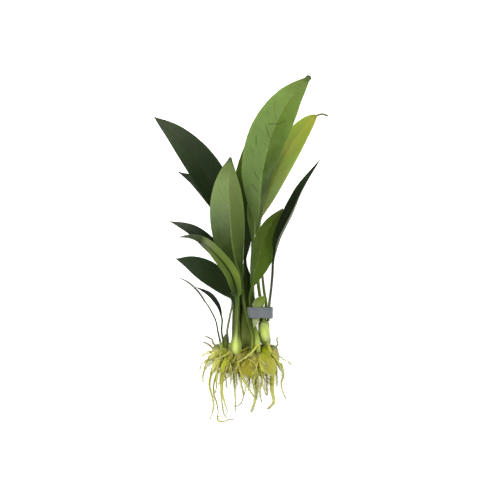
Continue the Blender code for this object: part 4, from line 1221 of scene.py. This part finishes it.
def makeRootTree():
    tree, given, end = newGrowth("Root", Float=[*rootLengths, "Wander Scale", "Knots", "Knot Scale"],
                                 Int=["Sides", "Side Sides", "Seed"])
    seed = given["Seed"]
    share = wired("GeometryNodeSplineParameter")
    spot = wired("GeometryNodeInputPosition")

    def resampled(curve, gap):
        return wired("GeometryNodeResampleCurve", {"Curve": curve, "Length": gap}, mode="LENGTH")

    def wandered(curve, scale, amount, shift):
        drift = reckonWay("SUBTRACT", cloud(spot, scale, shift=shift, output="Color"), (0.5, 0.5, 0.5))
        return moved(curve, grown(drift, eased(share, 0.0, 0.4) * amount))

    def skinned(curve, sides, size):
        circle = wired("GeometryNodeCurvePrimitiveCircle", {"Resolution": sides, "Radius": 1.0})
        feeds = {"Curve": curve, "Profile Curve": circle, "Scale": size, "Fill Caps": True}
        return wired("GeometryNodeCurveToMesh", feeds)

    def chance(low, high, shift):
        return wired("FunctionNodeRandomValue", {2: low, 3: high, "Seed": seed + shift}, 1, data_type="FLOAT")

    curve = resampled(wired("GeometryNodeMeshToCurve", {"Mesh": given["Geometry"]}), given["Spacing"])
    curve = wandered(curve, given["Wander Scale"], given["Wander"], seed)
    curve = wandered(curve, given["Wander Scale"] * 4.0, given["Kinks"], seed + 9.0)
    curve = kept(curve, "along", share)
    knots = (cloud(spot, given["Knot Scale"], 2, 0.6, seed) - 0.5) * given["Knots"] + 1.0
    size = (given["Tip Radius"] - given["Base Radius"]) * share + given["Base Radius"]
    size = size * knots * (1.0 - eased(share, 0.93, 1.0) * 0.75)
    body = skinned(curve, given["Sides"], size * carried("thick"))

    # side roots lean along the root that they grow from
    tangent = wired("GeometryNodeInputTangent")
    heading = wired("FunctionNodeAlignRotationToVector", {"Vector": tangent}, axis="Z")
    for turn in (joined(0.0, 0.0, chance(0, 6.28, 11)), joined(chance(0.35, 1.3, 12), 0.0, 0.0)):
        turn = wired("FunctionNodeEulerToRotation", {"Euler": turn})
        feeds = {"Rotation": heading, "Rotate By": turn}
        heading = wired("FunctionNodeRotateRotation", feeds, rotation_space="LOCAL")
    feeds = {"Start": (0, 0, 0), "End": joined(0.0, 0.0, given["Side Length"])}
    twigs = wired("GeometryNodeInstanceOnPoints", {
        "Points": resampled(curve, given["Side Gap"]), "Rotation": heading,
        "Selection": reckon("GREATER_THAN", chance(0, 1, 13), 0.35),
        "Instance": wired("GeometryNodeCurvePrimitiveLine", feeds),
        "Scale": joined(1.0, 1.0, chance(0.25, 1.3, 14))})
    twigs = wired("GeometryNodeRealizeInstances", {"Geometry": twigs})
    twigs = wired("GeometryNodeResampleCurve", {"Curve": twigs, "Count": 11}, mode="COUNT")
    twigs = wandered(twigs, given["Wander Scale"] * 2.2, given["Side Length"] * 0.75, seed + 5.0)
    twigs = kept(twigs, "along", share * 0.5 + 0.5)
    twigs = skinned(twigs, given["Side Sides"], given["Side Radius"] * (share * -0.55 + 1.0))
    whole = addNode("GeometryNodeJoinGeometry")
    feed(whole.inputs[0], body)
    feed(whole.inputs[0], twigs)
    closeGrowth(Wire(whole.outputs[0]), given, end)
    return tree


rootTree = makeRootTree()


def rootFinish(name, seed, stops):
    finish = newFinish(name + "Root")
    spot, tone = ownPlace(), marked("tone")
    patch = cloud(spot, 140, 4, 0.6, seed)
    skin = tinted(ramped(marked("along"), stops), eased(patch, 0.42, 0.7) * 0.45, "97993a")
    skin = tinted(skin, eased(tone, 0.55, 1.0) * 0.8, "cdc974")
    skin = tinted(skin, eased(tone, 0.45, 0.0) * 0.7, "7f7e22")
    skin = tinted(skin, eased(cloud(spot, 250, 3, 0.6, seed + 4), 0.58, 0.70) * 0.7, "6a5c34")
    return dressed(finish, {
        "Base Color": skin, "Roughness": spanned(patch, 0.4, 0.62), "Specular IOR Level": 0.1,
        "Subsurface Weight": 0.35, "Subsurface Radius": (1.0, 0.9, 0.35), "Subsurface Scale": 0.0015,
        "Normal": bumped(cloud(spot, 1400, 2, 0.5), 0.0002)})


rootTones = {
    "fresh": (1.0, [(0.0, "a2a428"), (0.3, "b2b54c"), (0.65, "babc88"), (1.0, "a2a292")]),
    "yellow": (2.0, [(0.0, "a4a222"), (0.4, "b0b244"), (0.75, "b6b978"), (1.0, "96957a")]),
    "olive": (5.0, [(0.0, "848412"), (0.4, "949224"), (1.0, "a4a24a")]),
    "old": (3.0, [(0.0, "8f8a2a"), (0.4, "989244"), (0.8, "8c8760"), (1.0, "6a6558")]),
    "dark": (4.0, [(0.0, "8d8a4a"), (0.4, "77704e"), (1.0, "5a5250")]),
}
rootFinishes = {name: rootFinish(name, *tones) for name, tones in rootTones.items()}


def growRoots(name, lines, radius, finish, seed, settings=None, node=None):
    # lines is a list of (points, thickness, tone), grown together as one piece
    spots, edges, thick, tone = [], [], [], []
    for line, width, shade in lines:
        edges += [(len(spots) + i, len(spots) + i + 1) for i in range(len(line) - 1)]
        spots += [(x, y, max(z, radius[1] * width)) for x, y, z in line]
        thick += [width] * len(line)
        tone += [shade] * len(line)
    piece = newPiece(name, spots, edges=edges, marks={"thick": thick, "tone": tone})
    values = {**rootForm, **(settings or {}), "Base Radius": radius[0], "Tip Radius": radius[1]}
    for label in rootLengths:
        values[label] *= mm
    grow(piece, rootTree, rootLowest, {**values, "Seed": seed, "Material": rootFinishes[finish]})
    place(piece, "root", node)


def pieceName(kind, name):
    return kind + name[0].upper() + name[1:]


def rootLine(points, steps=12, count=30):
    return spreadOut(smoothLine(points, steps), count)


roots = {
    "leftShort": dict(seat=(-25.3, 195), radius=(1.0, 0.5), finish="fresh",
        line=[(-31, -99, 2.6), (-33.3, -108, 1.2), (-33.8, -116.5, 1)]),
    "leftLong": dict(seat=(-21, 203), radius=(1.2, 0.5), finish="yellow",
        line=[(-25.5, -104, 2), (-28, -118, 1.2), (-24.3, -135, 1.2), (-28.6, -150.3, 0.9)]),
    "leftRaised": dict(seat=(-18, 165), radius=(1.1, 0.5), finish="old",
        line=[(-21.5, -108, 6), (-24.7, -122, 5), (-21.2, -134, 4.5), (-20.4, -143, 3), (-21.2, -148, 1.2)]),
    "leftHooked": dict(seat=(-15, 203), radius=(1.1, 0.5), finish="fresh",
        line=[(-17.8, -111, 1.6), (-17.4, -130, 1.2), (-15.8, -142, 1.1), (-11.7, -148, 0.9)]),
    "leftThick": dict(seat=(-13, 152), radius=(1.5, 0.6), finish="yellow",
        line=[(-15.4, -107, 10.5), (-16.9, -121, 8.5), (-14.3, -134, 6), (-12.4, -140, 4.4),
              (-13.6, -144.6, 3)]),
    "leftFront": dict(seat=(-18.5, 125), radius=(1.1, 0.5), finish="fresh",
        line=[(-21, -105, 12), (-21.8, -118, 9), (-25, -129, 8)]),
    "middleShort": dict(seat=(-8.5, 150), radius=(1.0, 0.5), finish="fresh", line=[(-9, -108, 8),
        (-9.6, -117, 6)]),
    "middleStraight": dict(seat=(-8, 203), radius=(1.1, 0.5), finish="fresh",
        line=[(-6.8, -108, 1.8), (-6, -125, 1.2), (-5.2, -143.5, 0.9)]),
    "middleHooked": dict(seat=(-3.5, 180), radius=(1.1, 0.5), finish="old",
        line=[(-3, -106, 6), (0, -118, 5), (1.3, -127, 5), (-1.6, -134.5, 5), (-8.2, -136, 4.6)]),
    "middleSlanting": dict(seat=(-3, 122), radius=(1.3, 0.6), finish="yellow",
        line=[(-1.5, -104, 14.5), (5.6, -119, 11), (10.8, -127.5, 8), (14.6, -130.6, 6)]),
    "middleFront": dict(seat=(2, 150), radius=(1.1, 0.5), finish="fresh",
        line=[(0.6, -105, 10), (-0.6, -116, 9.5), (3.4, -127, 8)]),
    "centreShort": dict(seat=(4, 203), radius=(1.0, 0.5), finish="old",
        line=[(7, -106, 1.8), (5.6, -123.5, 0.9)]),
    "centreThick": dict(seat=(9.5, 203), radius=(1.9, 1.2), finish="yellow",
        line=[(12.2, -109, 2), (12.6, -126, 1.5), (10, -137, 1.2), (7.6, -142.6, 1)]),
    "rightSlender": dict(seat=(14.5, 203), radius=(1.0, 0.5), finish="fresh",
        line=[(18, -110, 1.8), (15.8, -125, 1.2), (18, -134, 0.9)]),
    "rightFront": dict(seat=(16.4, 150), radius=(1.1, 0.5), finish="yellow",
        line=[(17.2, -108, 10.4), (18.6, -119, 9), (21.8, -127, 7)]),
    "rightShort": dict(seat=(19.5, 203), radius=(1.0, 0.5), finish="old",
        line=[(21.8, -110, 1.8), (22.2, -127.5, 0.9)]),
    "rightThick": dict(seat=(24, 200), radius=(2.3, 1.2), finish="yellow",
        line=[(26.6, -107, 2.2), (26.5, -121, 1.9), (28, -132, 1.5), (25, -136.4, 1.4), (21.6, -139.4, 1)]),
    "rightStraight": dict(seat=(27.5, 200), radius=(1.0, 0.5), finish="fresh",
        line=[(30.3, -105, 1.8), (30.9, -120, 1)]),
    "rightLong": dict(seat=(30, 195), radius=(1.2, 0.5), finish="fresh",
        line=[(34.2, -100, 2), (36.4, -109, 1.4), (34.4, -119, 1.2), (39.4, -132, 0.9)]),
    "rightRaised": dict(seat=(27, 100), radius=(1.1, 0.5), finish="yellow",
        line=[(30.6, -96.2, 13), (34.8, -103.6, 9), (37, -110.6, 6.4)]),
}
rootlets = {
    "leftUpper": dict(seat=(-22.5, 20), radius=(0.9, 0.5), finish="dark", line=[(-26, -77.5, 8),
        (-32, -75, 5.5)]),
    "leftLower": dict(seat=(-25, -20), radius=(0.9, 0.5), finish="dark", line=[(-30, -81.5, 4),
        (-34.5, -80, 2)]),
    "right": dict(seat=(29.5, 5), radius=(0.9, 0.5), finish="dark", line=[(30.6, -78, 5), (32, -75.5, 3)]),
}

for kind, group in (("root", roots), ("rootlet", rootlets)):
    for number, (name, root) in enumerate(group.items()):
        line = rootLine(seatOn(root["seat"], root["radius"][0]) + root["line"])
        growRoots(pieceName(kind, name), [(line, 1.0, 0.5)], root["radius"], root["finish"], number * 3 + 1,
                  node=nodeName(kind, name))
print("main roots done")


# Roots that lie over the rhizome, drawn from above: most points have no heights of their own

collarForm = {"lift": 1.0, "least": 2.0, "tipShare": 0.6, "firstSeed": 200}
collarRoots = {
    "diagonal": dict(radius=1.0, tone=0.72, finish="yellow",
        line=[(15.5, -80.5, 16), (12, -84.5, 18.4), (8.3, -89.3, 18.6), (3.5, -93), (-0.8, -95.6),
              (-3.4, -98.6)]),
    "middleFall": dict(radius=0.85, tone=0.85, finish="yellow",
        line=[(-3.4, -97.5), (-1.2, -103.7), (1.8, -110.6, 12), (5, -117.5, 9), (7.5, -121.5, 7)]),
    "leftPale": dict(radius=0.8, tone=0.7, finish="fresh",
        line=[(-11, -89), (-15.4, -91.8), (-20.4, -94), (-25.8, -95.4, 9), (-29, -97, 6)]),
    "rightBend": dict(radius=0.9, tone=0.6, finish="yellow",
        line=[(22.4, -83.5), (24.8, -88), (27.8, -92.4), (30, -97.5, 11), (30, -103, 9), (29, -109, 8)]),
    "middleRim": dict(radius=0.55, tone=0.8, finish="yellow",
        line=[(6, -94.5), (10.5, -97.2), (12.6, -101), (12.6, -106), (10.6, -111)]),
    "brownBend": dict(radius=0.7, tone=0.2, finish="old",
        line=[(-1.2, -88), (2.6, -86.2), (6.4, -84.8), (9.6, -83)]),
    "footBend": dict(radius=0.6, tone=0.45, finish="fresh",
        line=[(-4.8, -91.5), (-6.4, -95), (-9.8, -98.5), (-12.6, -101.5), (-14, -106, 12)]),
    "rightRim": dict(radius=0.6, tone=0.75, finish="yellow",
        line=[(16.4, -97.5), (19.5, -103), (24, -107.5, 15.5), (28, -109.5, 13)]),
    "rightEdge": dict(radius=0.8, tone=0.4, finish="fresh",
        line=[(22.6, -80.5), (25.2, -86.5), (28.8, -92.8), (31.4, -99.5, 9), (34.4, -106, 5.5)]),
    "lime": dict(radius=0.6, tone=0.3, finish="yellow",
        line=[(-9.5, -92.5), (-12, -96), (-14.6, -101), (-15.6, -107, 12), (-15.8, -113, 9)]),
    "centreBeside": dict(radius=1.4, tone=0.5, finish="yellow",
        line=[(9.2, -106), (9.6, -112, 8), (10.8, -119, 5), (12.2, -125.5, 3.4), (12.8, -129, 2.6)]),
    "middleBeside": dict(radius=1.0, tone=0.6, finish="yellow",
        line=[(-4.6, -102), (-4.6, -107, 9), (-4.5, -112, 7), (-4.2, -117, 5.4)]),
    "lowHook": dict(radius=0.8, tone=0.3, finish="fresh",
        line=[(-20.8, -144.6, 2.4), (-20.9, -147.6, 1.5), (-18.8, -149.3, 1.2), (-15, -149.4, 1.1),
              (-10.5, -147.8, 1.0), (-5.8, -147.9, 0.9)]),
}

for number, (name, root) in enumerate(collarRoots.items()):
    radius = root["radius"]
    line = rootLine(laidOn(root["line"], radius + collarForm["lift"], collarForm["least"]))
    growRoots(pieceName("collarRoot", name), [(line, 1.0, root["tone"])],
              (radius, radius * collarForm["tipShare"]), root["finish"], collarForm["firstSeed"] + number * 3,
              {"Wander": 0.8, "Side Length": 4.0})
print("collar roots done")


# Loose roots that start anywhere on the rhizome and hang to the plant's foot

looseForm = {
    "outside": 30,           # where the rays start that look for the rhizome's skin
    "inside": 0.6,           # how deep in it a root starts
    "step": 1.3,
    "drift": 0.17,
    "clearance": 0.5,
    "lowest": 0.4,
    "endShare": 0.75,        # from here on roots grow out of the rhizome's ends too
    "aim": (0.4, -1, -0.35), # how far to either side, then to the plant's foot and to the floor
    "radius": (1.0, 0.6),
    "fineBelow": 0.3,        # thinner roots get fewer sides and side roots
}
looseRoots = {
    "crownRoots": dict(count=22, seed=31, angles=(70, 125), lengths=(6, 15), thick=(0.3, 0.6),
        finish="yellow", spread=0.45, stiff=0.16, sideLength=3.0),
    "hangingRoots": dict(count=26, seed=32, angles=(125, 205), lengths=(9, 26), thick=(0.3, 0.75),
        finish="fresh", spread=0.35, stiff=0.18, sideLength=5.0),
    "tanRoots": dict(count=14, seed=33, angles=(90, 200), lengths=(7, 20), thick=(0.25, 0.55), finish="old",
        spread=0.4, stiff=0.16, sideLength=4.0),
    "hairRoots": dict(count=90, seed=34, angles=(60, 215), lengths=(4, 12), thick=(0.14, 0.25),
        finish="olive", spread=0.5, stiff=0.16, sideLength=2.0),
    "longHairs": dict(count=12, seed=35, angles=(150, 215), lengths=(26, 46), thick=(0.13, 0.24),
        finish="old", spread=0.3, stiff=0.2, sideLength=3.5),
}


def looseLine(rng, root):
    # walks away from the rhizome's skin, bending to the foot of the plant
    share = rng.uniform(0.0, 1.0)
    middle = Vector(rhizomeMiddle[int(share * (len(rhizomeMiddle) - 1))])
    turn = math.radians(rng.uniform(*root["angles"]))
    lean = (share - 0.5) * 2
    endward = max(abs(lean) - looseForm["endShare"], 0) / (1 - looseForm["endShare"])
    out = Vector((math.copysign(endward, lean), math.cos(turn), math.sin(turn))).normalized()
    surface, normal, _, _ = rhizomeSolid.ray_cast((middle + out * looseForm["outside"]) * mm, -out)
    if surface is None:
        return []
    spot = surface / mm - normal * looseForm["inside"]
    heading = normal.copy()
    sideways, footward, downward = looseForm["aim"]
    sideways = lean * root["spread"] + rng.uniform(-sideways, sideways)
    aim = Vector((sideways, footward, downward)).normalized()
    line = [tuple(spot)]
    for _ in range(int(rng.uniform(*root["lengths"]) / looseForm["step"])):
        drift = Vector([rng.gauss(0, looseForm["drift"]) for _ in range(3)])
        heading = (heading * (1 - root["stiff"]) + aim * root["stiff"] + drift).normalized()
        spot = spot + heading * looseForm["step"]
        near, away, _, _ = rhizomeSolid.find_nearest(spot * mm)
        clear = (spot - near / mm).dot(away)
        if clear < looseForm["clearance"]:
            spot = spot + away * (looseForm["clearance"] - clear)
        if spot.z < looseForm["lowest"]:
            spot.z = looseForm["lowest"]
            heading.z = max(heading.z, 0)
        line.append(tuple(spot))
    return line


for name, root in looseRoots.items():
    rng = random.Random(root["seed"])
    lines = []
    while len(lines) < root["count"]:
        line = looseLine(rng, root)
        if len(line) > 2:
            lines.append((line, rng.uniform(*root["thick"]), rng.random()))
    settings = {"Spacing": 0.8, "Wander": 1.0, "Kinks": 0.8, "Side Length": root["sideLength"],
                "Side Sides": 4}
    if root["thick"][1] < looseForm["fineBelow"]:
        settings.update({"Sides": 5, "Side Gap": 4.0, "Side Radius": 0.11})
    else:
        settings.update({"Sides": 7, "Side Gap": 2.8, "Side Radius": 0.14})
    growRoots(name, lines, looseForm["radius"], root["finish"], root["seed"], settings)
print("loose roots done")
